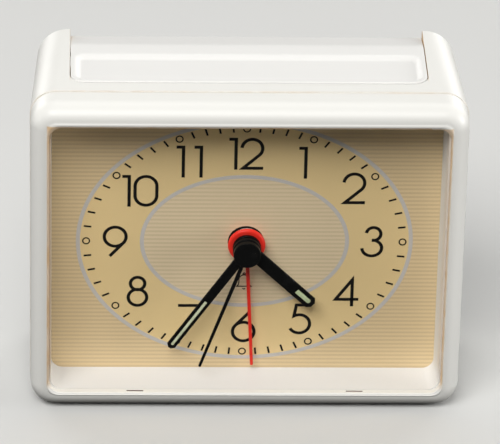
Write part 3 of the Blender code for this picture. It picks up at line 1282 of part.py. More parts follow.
def make_going_train(looks, places, axes):
    """Rotor, rotor wheel, seconds wheel, third wheel and centre wheel, all in mesh."""
    seconds_end = SECONDS_WHEEL_AT + WHEEL_THICKNESS
    seconds = bmesh.new()
    add_gear(seconds, SECONDS_WHEEL_TEETH, MODULE, SECONDS_WHEEL_AT, seconds_end)
    seconds_wheel = add_piece("seconds_wheel", seconds, looks["natural"], parent=axes["seconds"])
    pinion = bmesh.new()
    pinion_start = THIRD_WHEEL_AT - PINION_OVERHANG
    add_gear(pinion, TRAIN_PINION_TEETH, MODULE, pinion_start, SECONDS_WHEEL_AT + WHEEL_THICKNESS / 2)
    shape_with(seconds_wheel, "pinion", pinion, "UNION")
    arbor = rod_tool(ARBOR_RADIUS, -(SECONDS_HAND_SETOFF + SECONDS_CAP_THICKNESS / 2), ARBOR_END, THIN_SIDES)
    shape_with(seconds_wheel, "arbor", arbor, "UNION")

    to_third = bearing(places["hands"], places["third"])
    third_phase = meshed_phase(to_third, TRAIN_PINION_TEETH, 0.0, THIRD_WHEEL_TEETH)
    third = bmesh.new()
    third_end = THIRD_WHEEL_AT + WHEEL_THICKNESS
    add_gear(third, THIRD_WHEEL_TEETH, MODULE, THIRD_WHEEL_AT, third_end, third_phase)
    third_wheel = add_piece("third_wheel", third, looks["natural"], parent=axes["third"])
    pinion = bmesh.new()
    add_gear(
        pinion,
        TRAIN_PINION_TEETH,
        third_module(),
        CENTRE_WHEEL_AT - PINION_OVERHANG,
        THIRD_WHEEL_AT + WHEEL_THICKNESS / 2,
    )
    shape_with(third_wheel, "pinion", pinion, "UNION")
    arbor = rod_tool(ARBOR_RADIUS, FRAME_BACK + WHEEL_GAP, ARBOR_END, THIN_SIDES)
    shape_with(third_wheel, "arbor", arbor, "UNION")

    centre_phase = meshed_phase(to_third + 180.0, TRAIN_PINION_TEETH, 0.0, CENTRE_WHEEL_TEETH)
    centre = bmesh.new()
    centre_end = CENTRE_WHEEL_AT + WHEEL_THICKNESS
    add_gear(centre, CENTRE_WHEEL_TEETH, third_module(), CENTRE_WHEEL_AT, centre_end, centre_phase)
    centre_wheel = add_piece("centre_wheel", centre, looks["brass"], parent=axes["centre"])
    inner = MINUTE_TUBE_RADIUS + FIT_GAP
    bore = rod_tool(inner, CENTRE_WHEEL_AT - CUT_OVERRUN, centre_end + CUT_OVERRUN, SMALL_SIDES)
    shape_with(centre_wheel, "bore", bore, "DIFFERENCE")

    to_rotor_wheel = bearing(places["hands"], places["rotor_wheel"])
    slow_phase = meshed_phase(to_rotor_wheel, SECONDS_WHEEL_TEETH, 0.0, TRAIN_PINION_TEETH)
    rotor_wheel_end = ROTOR_WHEEL_AT + WHEEL_THICKNESS
    wheel = bmesh.new()
    add_gear(wheel, ROTOR_WHEEL_TEETH, ROTOR_MODULE, ROTOR_WHEEL_AT, rotor_wheel_end)
    rotor_wheel = add_piece("rotor_wheel", wheel, looks["natural"], parent=axes["rotor_wheel"])
    pinion = bmesh.new()
    pinion_start = SECONDS_WHEEL_AT - PINION_OVERHANG
    pinion_end = ROTOR_WHEEL_AT + WHEEL_THICKNESS / 2
    add_gear(pinion, TRAIN_PINION_TEETH, MODULE, pinion_start, pinion_end, slow_phase)
    shape_with(rotor_wheel, "pinion", pinion, "UNION")
    arbor = rod_tool(ARBOR_RADIUS, BRIDGE_BACK + SEAT_GAP, ARBOR_END, THIN_SIDES)
    shape_with(rotor_wheel, "arbor", arbor, "UNION")

    to_rotor = bearing(places["rotor_wheel"], places["rotor"])
    rotor_phase = meshed_phase(to_rotor, ROTOR_WHEEL_TEETH, 0.0, TRAIN_PINION_TEETH)
    magnet_end = ROTOR_WHEEL_AT - WHEEL_GAP
    magnet_start = magnet_end - MAGNET_LENGTH
    rotor_bm = bmesh.new()
    add_rod(rotor_bm, MAGNET_RADIUS, magnet_start, magnet_end, SMALL_SIDES)
    rotor = add_piece("rotor", rotor_bm, looks["magnet"], parent=axes["rotor"])
    pinion = bmesh.new()
    add_gear(
        pinion,
        TRAIN_PINION_TEETH,
        ROTOR_MODULE,
        magnet_end - MAGNET_LENGTH / 2,
        rotor_wheel_end + PINION_OVERHANG,
        rotor_phase,
    )
    shape_with(rotor, "pinion", pinion, "UNION")
    arbor = rod_tool(ARBOR_RADIUS, BRIDGE_BACK + SEAT_GAP, ARBOR_END, THIN_SIDES)
    shape_with(rotor, "arbor", arbor, "UNION")


def make_motor(looks, places):
    """Stator with the coil's core, the bobbin and the winding on it."""
    rotor = places["rotor"]
    start = SECONDS_WHEEL_AT
    end = start + STATOR_THICKNESS
    window = MAGNET_RADIUS + STATOR_GAP
    half = window + STATOR_RIM
    leg_right = stator_edge(places)
    leg_left = leg_right - STATOR_ARM
    core_x = core_middle(places)
    core_left = core_x - CORE_WIDTH / 2
    core_right = core_x + CORE_WIDTH / 2
    outline = [
        (rotor[0] - half, rotor[1] - half),
        (leg_left, rotor[1] - half),
        (leg_left, -CORE_BOTTOM),
        (core_right, -CORE_BOTTOM),
        (core_right, CORE_TOP),
        (leg_left, CORE_TOP),
        (leg_left, rotor[1] + half),
        (rotor[0] - half, rotor[1] + half),
    ]
    bm = bmesh.new()
    loft(bm, [across_y(outline, start), across_y(outline, end)])
    stator = add_piece("stator", bm, looks["steel"], at_dial(places["hands"]))
    gap = box_tool(
        (leg_right, start - CUT_OVERRUN, STATOR_ARM - CORE_BOTTOM),
        (core_left, end + CUT_OVERRUN, CORE_TOP - STATOR_ARM),
    )
    shape_with(stator, "coil_gap", gap, "DIFFERENCE")
    hole = rod_tool(window, start - CUT_OVERRUN, end + CUT_OVERRUN, SMALL_SIDES, rotor)
    shape_with(stator, "rotor_window", hole, "DIFFERENCE")

    middle = (core_x, (start + end) / 2)
    bore = math.hypot(CORE_WIDTH, STATOR_THICKNESS) / 2 + FIT_GAP
    barrel = bore + BOBBIN_WALL
    bottom = STATOR_ARM - CORE_BOTTOM + SEAT_GAP
    top = CORE_TOP - STATOR_ARM - SEAT_GAP
    stations = (
        (bore, bottom),
        (BOBBIN_FLANGE_RADIUS, bottom),
        (BOBBIN_FLANGE_RADIUS, bottom + BOBBIN_FLANGE),
        (barrel, bottom + BOBBIN_FLANGE),
        (barrel, top - BOBBIN_FLANGE),
        (BOBBIN_FLANGE_RADIUS, top - BOBBIN_FLANGE),
        (BOBBIN_FLANGE_RADIUS, top),
        (bore, top),
    )
    bobbin = bmesh.new()
    loft(bobbin, [across_z(circle(radius, SMALL_SIDES, middle), z) for radius, z in stations], closed=True)
    add_piece("coil_bobbin", bobbin, looks["black"], at_dial(places["hands"]))
    inner = barrel + FIT_GAP
    low = bottom + BOBBIN_FLANGE + SEAT_GAP
    high = top - BOBBIN_FLANGE - SEAT_GAP
    stations = ((inner, low), (WINDING_RADIUS, low), (WINDING_RADIUS, high), (inner, high))
    winding = bmesh.new()
    loft(winding, [across_z(circle(radius, SMALL_SIDES, middle), z) for radius, z in stations], closed=True)
    add_piece("coil_winding", winding, looks["copper"], at_dial(places["hands"]))


def make_circuit(looks, places):
    """Circuit board with its chip and crystal, and the two leaf contacts."""
    origin = at_dial(places["hands"])
    board_back = BOARD_SETBACK + BOARD_THICKNESS
    bottom = MOVEMENT_MID - BOARD_HEIGHT / 2
    top = bottom + BOARD_HEIGHT
    board = box_tool((-BOARD_OUTER, BOARD_SETBACK, bottom), (-BOARD_INNER, board_back, top))
    add_piece("circuit_board", board, looks["board"], origin)
    chip = bmesh.new()
    start = board_back + SEAT_GAP
    add_rod(chip, CHIP_RADIUS, start, start + CHIP_THICKNESS, SMALL_SIDES, (BOARD_X, -CHIP_DROP))
    add_piece("clock_chip", chip, looks["magnet"], origin)
    crystal = bmesh.new()
    outline = circle(CRYSTAL_RADIUS, THIN_SIDES, (BOARD_X, start + CRYSTAL_RADIUS))
    loft(crystal, [across_z(outline, CRYSTAL_RISE), across_z(outline, CRYSTAL_RISE + CRYSTAL_LENGTH)])
    add_piece("quartz_crystal", crystal, looks["steel"], origin)

    wheel_tip = MODULE * (ALARM_WHEEL_TEETH / 2 + ADDENDUM_SHARE)
    low_z = ALARM_LEAF_RISE - ALARM_LEAF_WIDTH / 2
    tip_x = -(math.sqrt(wheel_tip**2 - low_z**2) + SEAT_GAP)
    thick = ALARM_LEAF_THICKNESS
    foot_back = BOARD_SETBACK - SEAT_GAP
    bend_x = -BOARD_INNER - thick
    profile = (
        (bend_x - ALARM_LEAF_FOOT, foot_back),
        (bend_x - ALARM_LEAF_FOOT, foot_back - thick),
        (bend_x, foot_back - thick),
        (bend_x, ALARM_WHEEL_AT),
        (tip_x, ALARM_WHEEL_AT),
        (tip_x, ALARM_WHEEL_AT + thick),
        (bend_x + thick, ALARM_WHEEL_AT + thick),
        (bend_x + thick, foot_back),
    )
    leaf = bmesh.new()
    loft(leaf, [across_z(profile, low_z), across_z(profile, low_z + ALARM_LEAF_WIDTH)])
    add_piece("alarm_contact", leaf, looks["brass"], origin)

    base_z = DIAL_HEIGHT + MOVEMENT_REACH + SEAT_GAP
    finger_y = SLOT_FRONT_Y + SPRING_OFFSET
    finger_x = finger_place()
    tip_z = CASE_HEIGHT - BAR_FINGER_LENGTH - STOP_LEAF_CLEARANCE
    foot_y = DIAL_Y + COVER_FRONT - SEAT_GAP
    back = finger_y + STOP_LEAF_THICKNESS + BAR_FINGER_THICKNESS
    profile = (
        (foot_y - STOP_LEAF_LENGTH, base_z),
        (foot_y, base_z),
        (foot_y, tip_z),
        (back, tip_z),
        (back, tip_z + STOP_LEAF_THICKNESS),
        (foot_y - STOP_LEAF_THICKNESS, tip_z + STOP_LEAF_THICKNESS),
        (foot_y - STOP_LEAF_THICKNESS, base_z + STOP_LEAF_THICKNESS),
        (foot_y - STOP_LEAF_LENGTH, base_z + STOP_LEAF_THICKNESS),
    )
    stop = bmesh.new()
    half = STOP_LEAF_WIDTH / 2
    loft(stop, [across_x(profile, finger_x - half), across_x(profile, finger_x + half)])
    add_piece("stop_contact", stop, looks["brass"])


def add_blade(bm, length, width, tip_width, chamfer, front, back):
    """Add a flat hand that points up from the axis, with its tip corners cut."""
    outline = [
        (-width / 2, 0.0),
        (width / 2, 0.0),
        (tip_width / 2, length - chamfer),
        (tip_width / 2 - chamfer, length),
        (chamfer - tip_width / 2, length),
        (-tip_width / 2, length - chamfer),
    ]
    loft(bm, [across_y(outline, y) for y in (front, back)])


def make_hand(look, name, axis, turn, blade, hub, bore, setoff):
    """Make a hand: a blade level with the back of a round hub, which sits on a tube.

    blade holds length, width, tip width and chamfer; hub holds radius and thickness.
    """
    hub_radius, hub_thickness = hub
    front = -(setoff + hub_thickness)
    back = -setoff
    bm = bmesh.new()
    add_rod(bm, hub_radius, front, back, LARGE_SIDES)
    hand = add_piece(name, bm, look, turn=turn, parent=axis)
    flat = bmesh.new()
    add_blade(flat, *blade, back - HAND_THICKNESS, back)
    shape_with(hand, "blade", flat, "UNION")
    if bore:
        hole = rod_tool(bore, front - CUT_OVERRUN, back + CUT_OVERRUN, SMALL_SIDES)
        shape_with(hand, "bore", hole, "DIFFERENCE")
    return hand


def add_lume(look, hand, axis, turn, length, lume, setoff):
    """Cut a slot in a hand and lay a strip of pale paint in it.

    lume holds the strip's length, its width and how far its end stays from the tip.
    """
    lume_length, lume_width, margin = lume
    tip = length - margin
    slot = box_tool(
        (-lume_width / 2, -setoff - HAND_THICKNESS - CUT_OVERRUN, tip - lume_length),
        (lume_width / 2, -setoff + CUT_OVERRUN, tip),
    )
    shape_with(hand, "lume_slot", slot, "DIFFERENCE")
    strip = box_tool(
        (-lume_width / 2 + LUME_GAP, -setoff - HAND_THICKNESS, tip - lume_length + LUME_GAP),
        (lume_width / 2 - LUME_GAP, -setoff, tip - LUME_GAP),
    )
    add_piece(f"{hand.name}_lume", strip, look, turn=turn, parent=axis)


def make_hands(looks, axes):
    """The four hands, from the dial outwards: alarm, hour, minute, seconds."""
    blade = (ALARM_HAND_LENGTH, ALARM_HAND_WIDTH, ALARM_HAND_TIP_WIDTH, 0.0)
    hub = (ALARM_DISC_RADIUS, ALARM_DISC_THICKNESS)
    bore = ALARM_TUBE_RADIUS + FIT_GAP
    axis = axes["alarm"]
    make_hand(looks["red"], "alarm_hand", axis, ALARM_HAND_TURN, blade, hub, bore, ALARM_DISC_SETOFF)

    black = looks["black"]
    paint = looks["lume"]
    hub = (HUB_RADIUS, HUB_THICKNESS)
    blade = (HOUR_HAND_LENGTH, HOUR_HAND_WIDTH, HOUR_HAND_TIP_WIDTH, HAND_TIP_CHAMFER)
    bore = HOUR_TUBE_RADIUS + FIT_GAP
    axis = axes["hour"]
    hand = make_hand(black, "hour_hand", axis, HOUR_HAND_TURN, blade, hub, bore, HOUR_HAND_SETOFF)
    lume = (HOUR_LUME_LENGTH, HOUR_LUME_WIDTH, HOUR_LUME_TIP_MARGIN)
    add_lume(paint, hand, axis, HOUR_HAND_TURN, HOUR_HAND_LENGTH, lume, HOUR_HAND_SETOFF)

    blade = (MINUTE_HAND_LENGTH, MINUTE_HAND_WIDTH, MINUTE_HAND_TIP_WIDTH, HAND_TIP_CHAMFER)
    bore = MINUTE_TUBE_RADIUS + FIT_GAP
    axis = axes["minute"]
    hand = make_hand(black, "minute_hand", axis, MINUTE_HAND_TURN, blade, hub, bore, MINUTE_HAND_SETOFF)
    lume = (MINUTE_LUME_LENGTH, MINUTE_LUME_WIDTH, MINUTE_LUME_TIP_MARGIN)
    add_lume(paint, hand, axis, MINUTE_HAND_TURN, MINUTE_HAND_LENGTH, lume, MINUTE_HAND_SETOFF)

    blade = (SECONDS_HAND_LENGTH, SECONDS_HAND_WIDTH, SECONDS_HAND_TIP_WIDTH, 0.0)
    hub = (SECONDS_CAP_RADIUS, SECONDS_CAP_THICKNESS)
    axis = axes["seconds"]
    setoff = SECONDS_HAND_SETOFF
    hand = make_hand(black, "seconds_hand", axis, SECONDS_HAND_TURN, blade, hub, 0.0, setoff)
    seat_end = -(setoff + SECONDS_CAP_THICKNESS / 2 + FIT_GAP)
    seat = rod_tool(ARBOR_RADIUS + FIT_GAP, seat_end, -setoff + CUT_OVERRUN, THIN_SIDES)
    shape_with(hand, "seat", seat, "DIFFERENCE")


def main():
    clear_scene()
    looks = finishes()
    make_front_bezel(looks)
    make_lens(looks)
    make_dial_frame(looks)
    make_dial_plate(looks)
    make_rear_case(looks)
    make_alarm_bar(looks)
    make_bar_pins(looks)
    make_bar_spring(looks)
    make_battery(looks)
    make_battery_door(looks)
    make_alarm_switch(looks)
    make_buzzer(looks)

    places = train_places()
    names = {
        "alarm": "hands",
        "hour": "hands",
        "minute": "hands",
        "seconds": "hands",
        "centre": "hands",
        "third": "third",
        "rotor_wheel": "rotor_wheel",
        "rotor": "rotor",
        "minute_wheel": "minute_wheel",
        "alarm_set": "alarm_set",
        "time_set": "time_set",
    }
    axes = {name: add_axis(f"{name}_axis", at_dial(places[place])) for name, place in names.items()}
    make_movement_frame(looks, places)
    make_bridge(looks, places)
    make_movement_cover(looks, places)
    make_movement_screws(looks, places)
    make_alarm_wheel(looks, axes["alarm"])
    minute_phase, hour_phase = make_minute_wheel(looks, places, axes["minute_wheel"])
    make_hour_wheel(looks, axes["hour"], hour_phase)
    make_minute_tube(looks, axes["minute"])
    direction = bearing(places["hands"], places["alarm_set"])
    phase = meshed_phase(direction, ALARM_WHEEL_TEETH, 0.0, ALARM_WHEEL_TEETH)
    gear = (ALARM_WHEEL_TEETH, MODULE, ALARM_WHEEL_AT, phase)
    make_setting(looks, "alarm_set", axes["alarm_set"], gear)
    direction = bearing(places["minute_wheel"], places["time_set"])
    phase = meshed_phase(direction, MINUTE_WHEEL_TEETH, minute_phase, MOTION_PINION_TEETH)
    gear = (MOTION_PINION_TEETH, motion_module(), MINUTE_WHEEL_AT, phase)
    make_setting(looks, "time_set", axes["time_set"], gear)
    make_going_train(looks, places, axes)
    make_motor(looks, places)
    make_circuit(looks, places)
    make_hands(looks, axes)


main()
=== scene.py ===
"""Looks of a white bedside alarm clock: fine surfaces, print, finishes and studio."""

import logging
import math
from dataclasses import dataclass
from enum import Enum
from functools import cached_property
from typing import Callable, Optional, Sequence, Union

import bpy
import numpy as np
from mathutils import Matrix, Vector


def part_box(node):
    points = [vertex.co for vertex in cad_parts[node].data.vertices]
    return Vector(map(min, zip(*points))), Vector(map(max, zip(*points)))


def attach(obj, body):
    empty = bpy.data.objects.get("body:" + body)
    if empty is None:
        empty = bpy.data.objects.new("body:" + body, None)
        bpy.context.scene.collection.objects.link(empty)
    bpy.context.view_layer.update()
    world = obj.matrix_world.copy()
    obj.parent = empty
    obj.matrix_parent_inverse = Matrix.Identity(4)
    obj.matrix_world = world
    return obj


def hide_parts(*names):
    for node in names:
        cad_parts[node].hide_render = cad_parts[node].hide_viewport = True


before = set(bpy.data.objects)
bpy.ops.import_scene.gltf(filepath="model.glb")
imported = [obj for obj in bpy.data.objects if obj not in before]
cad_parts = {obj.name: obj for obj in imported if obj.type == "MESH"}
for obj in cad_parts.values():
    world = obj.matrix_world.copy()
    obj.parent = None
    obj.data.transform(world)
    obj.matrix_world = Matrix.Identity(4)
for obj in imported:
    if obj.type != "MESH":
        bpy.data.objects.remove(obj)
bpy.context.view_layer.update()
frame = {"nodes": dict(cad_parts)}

log = logging.getLogger("bedside_clock")

MM = 0.001
INK = 0.02 * MM
SMOOTH_ANGLE = math.radians(33.0)
Material, Mesh, Piece = bpy.types.Material, bpy.types.Mesh, bpy.types.Object
Number = Union[int, float]
Pair = tuple[float, float]
Triple = tuple[float, float, float]
Colour = Triple
Stroke = tuple[list[Pair], bool]


class Body(Enum):
    """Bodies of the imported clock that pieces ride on."""

    CASE = "case"
    BAR = "push_bar"
    DOOR = "bay_door"
    SWITCH = "alarm_switch"
    TIME_KNOB = "time_setting"
    ALARM_KNOB = "alarm_setting"
    ALARM = "alarm_pointer"
    HOUR = "hour_pointer"
    MINUTE = "minute_pointer"
    SECONDS = "seconds_pointer"


def srgb(red: Number, green: Number, blue: Number) -> Colour:
    """Turn a colour given as 0 to 255 display values into linear light.

    Args:
        red: red display value.
        green: green display value.
        blue: blue display value.

    Returns:
        The linear colour.
    """
    shares = np.array([red, green, blue], float) / 255.0
    linear = np.where(shares <= 0.04045, shares / 12.92, ((shares + 0.055) / 1.055) ** 2.4)
    return tuple(float(v) for v in linear)


# ---- shader values


def sum_method(operation: str, swapped: bool = False) -> Callable[..., "Signal"]:
    """Make a method of Signal that adds one Math node.

    Args:
        operation: Blender's name of the sum.
        swapped: whether the signal comes after the other value.

    Returns:
        The method.
    """
    settings = {"operation": operation}

    def method(signal: "Signal", *others: "Value") -> "Signal":
        """Add the node and return its result."""
        terms = (*others, signal) if swapped else (signal, *others)
        return signal.shader.node("ShaderNodeMath", settings, dict(enumerate(terms)))

    return method


class Signal:
    """A shader socket that takes part in Python sums and adds its own Math nodes."""

    __add__ = __radd__ = sum_method("ADD")
    __sub__ = sum_method("SUBTRACT")
    __rsub__ = sum_method("SUBTRACT", True)
    __mul__ = __rmul__ = sum_method("MULTIPLY")
    __truediv__ = sum_method("DIVIDE")
    __pow__ = sum_method("POWER")
    __mod__ = sum_method("FLOORED_MODULO")
    __abs__ = sum_method("ABSOLUTE")
    __lt__ = sum_method("LESS_THAN")
    __gt__ = sum_method("GREATER_THAN")
    larger = sum_method("MAXIMUM")
    root = sum_method("SQRT")

    def __init__(self, shader: "Shader", socket: bpy.types.NodeSocket) -> None:
        """Keep the shader that owns the socket, and the socket."""
        self.shader = shader
        self.socket = socket

    def clamped(self) -> "Signal":
        """Value held between 0 and 1."""
        settings = {"operation": "ADD", "use_clamp": True}
        return self.shader.node("ShaderNodeMath", settings, {0: self, 1: 0.0})

    def smooth(self, low: Number, high: Number) -> "Signal":
        """Rise smoothly between two values, or fall where the first is the larger.

        Args:
            low: value at which the result is 0.
            high: value at which it is 1.

        Returns:
            The result.
        """
        start, end = (low, high) if low < high else (high, low)
        values = {"Value": self, "From Min": start, "From Max": end}
        rise = self.shader.node("ShaderNodeMapRange", {"interpolation_type": "SMOOTHSTEP"}, values)
        return rise if low < high else 1.0 - rise


Value = Union[Signal, Number, tuple]


class Shader:
    """One material's nodes, made by calls and sums."""

    def __init__(self, name: str) -> None:
        """Make the material and clear its nodes.

        Args:
            name: name of the material.
        """
        self.material = bpy.data.materials.new(name)
        self.material.use_nodes = True
        self.tree = self.material.node_tree
        self.tree.nodes.clear()

    def node(
        self,
        kind: str,
        settings: Optional[dict] = None,
        values: Optional[dict] = None,
        result: Union[int, str] = 0,
    ) -> Signal:
        """Add one node.

        Args:
            kind: the node's type.
            settings: properties set before its sockets.
            values: values or signals of its sockets, by name or number.
            result: name or number of the output to return.

        Returns:
            That output.
        """
        made = self.tree.nodes.new(kind)
        for key, setting in (settings or {}).items():
            setattr(made, key, setting)
        for key, value in (values or {}).items():
            socket = made.inputs[key]
            if isinstance(value, Signal):
                self.tree.links.new(value.socket, socket)
            elif isinstance(value, tuple) and len(value) == 3 and len(socket.default_value) == 4:
                socket.default_value = (*value, 1.0)
            else:
                socket.default_value = value
        return Signal(self, made.outputs[result])

    @cached_property
    def place(self) -> Signal:
        """Point on the piece, in the clock's own metres."""
        return self.node("ShaderNodeTexCoord", result="Object")

    @cached_property
    def axes(self) -> list[Signal]:
        """X, Y and Z of the point on the piece."""
        return [self.node("ShaderNodeSeparateXYZ", None, {0: self.place}, n) for n in "XYZ"]

    def noise(self, size: float, detail: float = 2.0, stretch: Triple = (1.0, 1.0, 1.0)) -> Signal:
        """Soft noise from 0 to 1.

        Args:
            size: width of its blotches in metres.
            detail: number of finer layers.
            stretch: factors along X, Y and Z.

        Returns:
            The noise.
        """
        point = self.node("ShaderNodeMapping", None, {"Vector": self.place, "Scale": stretch})
        values = {"Vector": point, "Scale": 1.0 / size, "Detail": detail}
        return self.node("ShaderNodeTexNoise", None, values)

    def blend(self, share: Value, first: Value, second: Value) -> Signal:
        """Mix two colours by a share from 0 to 1."""
        values = {0: share, 6: first, 7: second}
        return self.node("ShaderNodeMix", {"data_type": "RGBA"}, values, 2)

    def tinted(self, colour: Value, share: Value) -> Signal:
        """Brighten or darken a colour by a factor around 1."""
        values = {0: colour, "Scale": share}
        return self.node("ShaderNodeVectorMath", {"operation": "SCALE"}, values)

    def bump(self, height: Value, depth: float, normal: Optional[Signal] = None) -> Signal:
        """Bend the surface by a height from 0 to 1.

        Args:
            height: the height.
            depth: metres that a height of 1 stands for.
            normal: normal to start from.

        Returns:
            The bent normal.
        """
        values = {"Height": height, "Distance": depth, "Strength": 1.0}
        if normal is not None:
            values["Normal"] = normal
        return self.node("ShaderNodeBump", None, values)

    def surface(self, **values: Value) -> Material:
        """Add the Principled shader and the output.

        Args:
            values: its sockets, with underscores for spaces.

        Returns:
            The finished material.
        """
        sockets = {name.replace("_", " "): value for name, value in values.items()}
        closure = self.node("ShaderNodeBsdfPrincipled", None, sockets)
        end = self.tree.nodes.new("ShaderNodeOutputMaterial")
        self.tree.links.new(closure.socket, end.inputs["Surface"])
        return self.material


# ---- surfaces as arrays


def rounded_ring(
    width: float,
    height: float,
    radius: Union[float, Sequence[float]],
    centre: Pair = (0.0, 0.0),
    corner: int = 16,
    side: int = 6,
) -> np.ndarray:
    """Points round a rectangle with arcs for corners, anticlockwise.

    Each corner is a quarter circle: middle + radius * (cos a, sin a), and each side is a straight
    run between two arcs. Equal counts make any two rings match point by point.

    Args:
        width: size along the first axis.
        height: size along the second axis.
        radius: one radius, or those of right top, left top, left bottom and right bottom.
        centre: middle of the rectangle.
        corner: steps in each arc.
        side: steps in each side.

    Returns:
        The points, one row each.
    """
    radii = np.broadcast_to(np.asarray(radius, float), (4,))
    signs = np.array([(1, 1), (-1, 1), (-1, -1), (1, -1)], float)
    middles = np.array(centre) + signs * (np.array([width, height]) / 2 - radii[:, None])
    angles = (np.arange(4)[:, None] + np.linspace(0.0, 1.0, corner + 1)) * math.pi / 2
    circle = np.stack([np.cos(angles), np.sin(angles)], axis=-1)
    arcs = middles[:, None] + radii[:, None, None] * circle
    shares = np.linspace(0.0, 1.0, side + 1)[1:-1, None]
    ends = np.roll(arcs, -1, axis=0)[:, :1]
    runs = arcs[:, -1:] * (1 - shares) + ends * shares
    return np.concatenate([arcs, runs], axis=1).reshape(-1, 2)


class Plane(Enum):
    """Which way a flat outline is laid: the axis that it stands square to."""

    ALONG_X = 0
    ALONG_Y = 1
    ALONG_Z = 2


def laid(
    outline: np.ndarray, level: Union[float, np.ndarray], plane: Plane = Plane.ALONG_Y
) -> np.ndarray:
    """Lay an outline of two columns in a plane square to one axis.

    Args:
        outline: points of two columns.
        level: place along that axis, one number or one per point.
        plane: the axis.

    Returns:
        Points of three columns.
    """
    levels = np.broadcast_to(level, outline.shape[:1])
    return np.insert(outline, plane.value, levels, axis=1)


def quads(rows: int, columns: int, wrap_rows: bool, wrap_columns: bool) -> np.ndarray:
    """Faces of a grid of points: each joins a point, its neighbours and the one across.

    Args:
        rows: rows of points.
        columns: points in a row.
        wrap_rows: whether the last row joins the first.
        wrap_columns: whether the last column joins the first.

    Returns:
        Four point numbers per face.
    """
    low = np.arange(rows if wrap_rows else rows - 1)[:, None]
    left = np.arange(columns if wrap_columns else columns - 1)[None, :]
    high, right = (low + 1) % rows, (left + 1) % columns
    pairs = ((low, left), (low, right), (high, right), (high, left))
    corners = [np.broadcast_to(r * columns + c, (low.size, left.size)) for r, c in pairs]
    return np.stack(corners, axis=-1).reshape(-1, 4)


def signed_volume(points: np.ndarray, faces: Sequence[Sequence[int]]) -> float:
    """Volume inside a closed mesh, negative where its faces point in.

    Each face is split into triangles from its first point, and a triangle adds a sixth of
    a . (b x c).

    Args:
        points: one row per point.
        faces: point numbers of each face.

    Returns:
        The volume.
    """
    total = 0.0
    for face in faces:
        a, b, c = points[face[0]], points[list(face[1:-1])], points[list(face[2:])]
        total += float(np.sum(np.cross(b, c) @ a)) / 6.0
    return total


def mesh_of(name: str, points: np.ndarray, faces: Sequence[Sequence[int]]) -> Mesh:
    """Make a mesh from arrays, facing out, smooth where it is round.

    Args:
        name: name of the mesh.
        points: one row per point.
        faces: point numbers of each face.

    Returns:
        The mesh.
    """
    if signed_volume(points, faces) < 0.0:
        faces = [face[::-1] for face in faces]
    mesh = bpy.data.meshes.new(name)
    mesh.from_pydata(points.tolist(), [], [list(map(int, face)) for face in faces])
    mesh.update()
    shade(mesh)
    return mesh


def shade(mesh: Mesh) -> None:
    """Shade a mesh smooth, with sharp edges where it turns by more than the limit."""
    mesh.shade_smooth()
    mesh.set_sharp_from_angle(angle=SMOOTH_ANGLE)


def lofted(name: str, rings: Sequence[np.ndarray], closed: bool = False) -> Mesh:
    """Join rings of equally many points, closed on themselves or with flat ends.

    Args:
        name: name of the mesh.
        rings: the rings, three columns each.
        closed: whether the last ring joins the first.

    Returns:
        The mesh.
    """
    grid = np.stack(rings)
    rows, columns = grid.shape[:2]
    faces = quads(rows, columns, closed, True).tolist()
    if not closed:
        faces.append(list(range(columns))[::-1])
        faces.append(list(range((rows - 1) * columns, rows * columns)))
    return mesh_of(name, grid.reshape(-1, 3), faces)


def swept(
    name: str,
    stations: Sequence[tuple[np.ndarray, float]],
    closed: bool = False,
    plane: Plane = Plane.ALONG_Y,
) -> Mesh:
    """Loft flat outlines that are laid at levels along one axis.

    Args:
        name: name of the mesh.
        stations: outlines of two columns, each with its level.
        closed: whether the last one joins the first.
        plane: the axis.

    Returns:
        The mesh.
    """
    return lofted(name, [laid(outline, level, plane) for outline, level in stations], closed)


def joined(name: str, meshes: Sequence[Mesh]) -> Mesh:
    """Gather several meshes in one and remove the loose ones.

    Args:
        name: name of the mesh.
        meshes: the loose ones.

    Returns:
        The whole mesh.
    """
    points, faces, start = [], [], 0
    for mesh in meshes:
        flat = np.empty(len(mesh.vertices) * 3)
        mesh.vertices.foreach_get("co", flat)
        points.append(flat.reshape(-1, 3))
        faces += [[start + i for i in polygon.vertices] for polygon in mesh.polygons]
        start += len(mesh.vertices)
        bpy.data.meshes.remove(mesh)
    whole = bpy.data.meshes.new(name)
    whole.from_pydata(np.concatenate(points).tolist(), [], faces)
    whole.update()
    shade(whole)
    return whole


def box_mesh(name: str, low: Triple, high: Triple) -> Mesh:
    """Box between two opposite corners, as two lofted rectangles.

    Args:
        name: name of the mesh.
        low: left, front and lower corner.
        high: right, rear and upper corner.

    Returns:
        The mesh.
    """
    (left, near), (right, far) = low[:2], high[:2]
    base = np.array([(left, near), (right, near), (right, far), (left, far)], float)
    return swept(name, [(base, low[2]), (base, high[2])], plane=Plane.ALONG_Z)


@dataclass(frozen=True)
class Ribs:
    """Ribs round a turned surface, none by default."""

    count: int = 0
    depth: float = 0.0
    rings: Sequence[int] = ()


def turned(
    name: str,
    profile: Sequence[Pair],
    centre: Pair,
    count: int = 64,
    closed: bool = False,
    ribs: Ribs = Ribs(),
) -> Mesh:
    """Surface turned about a line along Y: radius * (cos a, sin a) round the centre.

    The rings that carry the ribs have radius - depth * (1 - cos(n a)) / 2 in place of the radius.

    Args:
        name: name of the mesh.
        profile: pairs of radius and Y.
        centre: X and Z of the line.
        count: points round it.
        closed: whether the last ring joins the first.
        ribs: its ribs.

    Returns:
        The mesh.
    """
    angles = np.arange(count) * math.tau / count
    circle = np.stack([np.cos(angles), np.sin(angles)], axis=-1)
    waves = ribs.depth * (0.5 - 0.5 * np.cos(ribs.count * angles))
    stations = []
    for number, (radius, y) in enumerate(profile):
        reach = radius - (waves if number in ribs.rings else np.zeros(count))
        stations.append((np.array(centre) + reach[:, None] * circle, y))
    return swept(name, stations, closed)


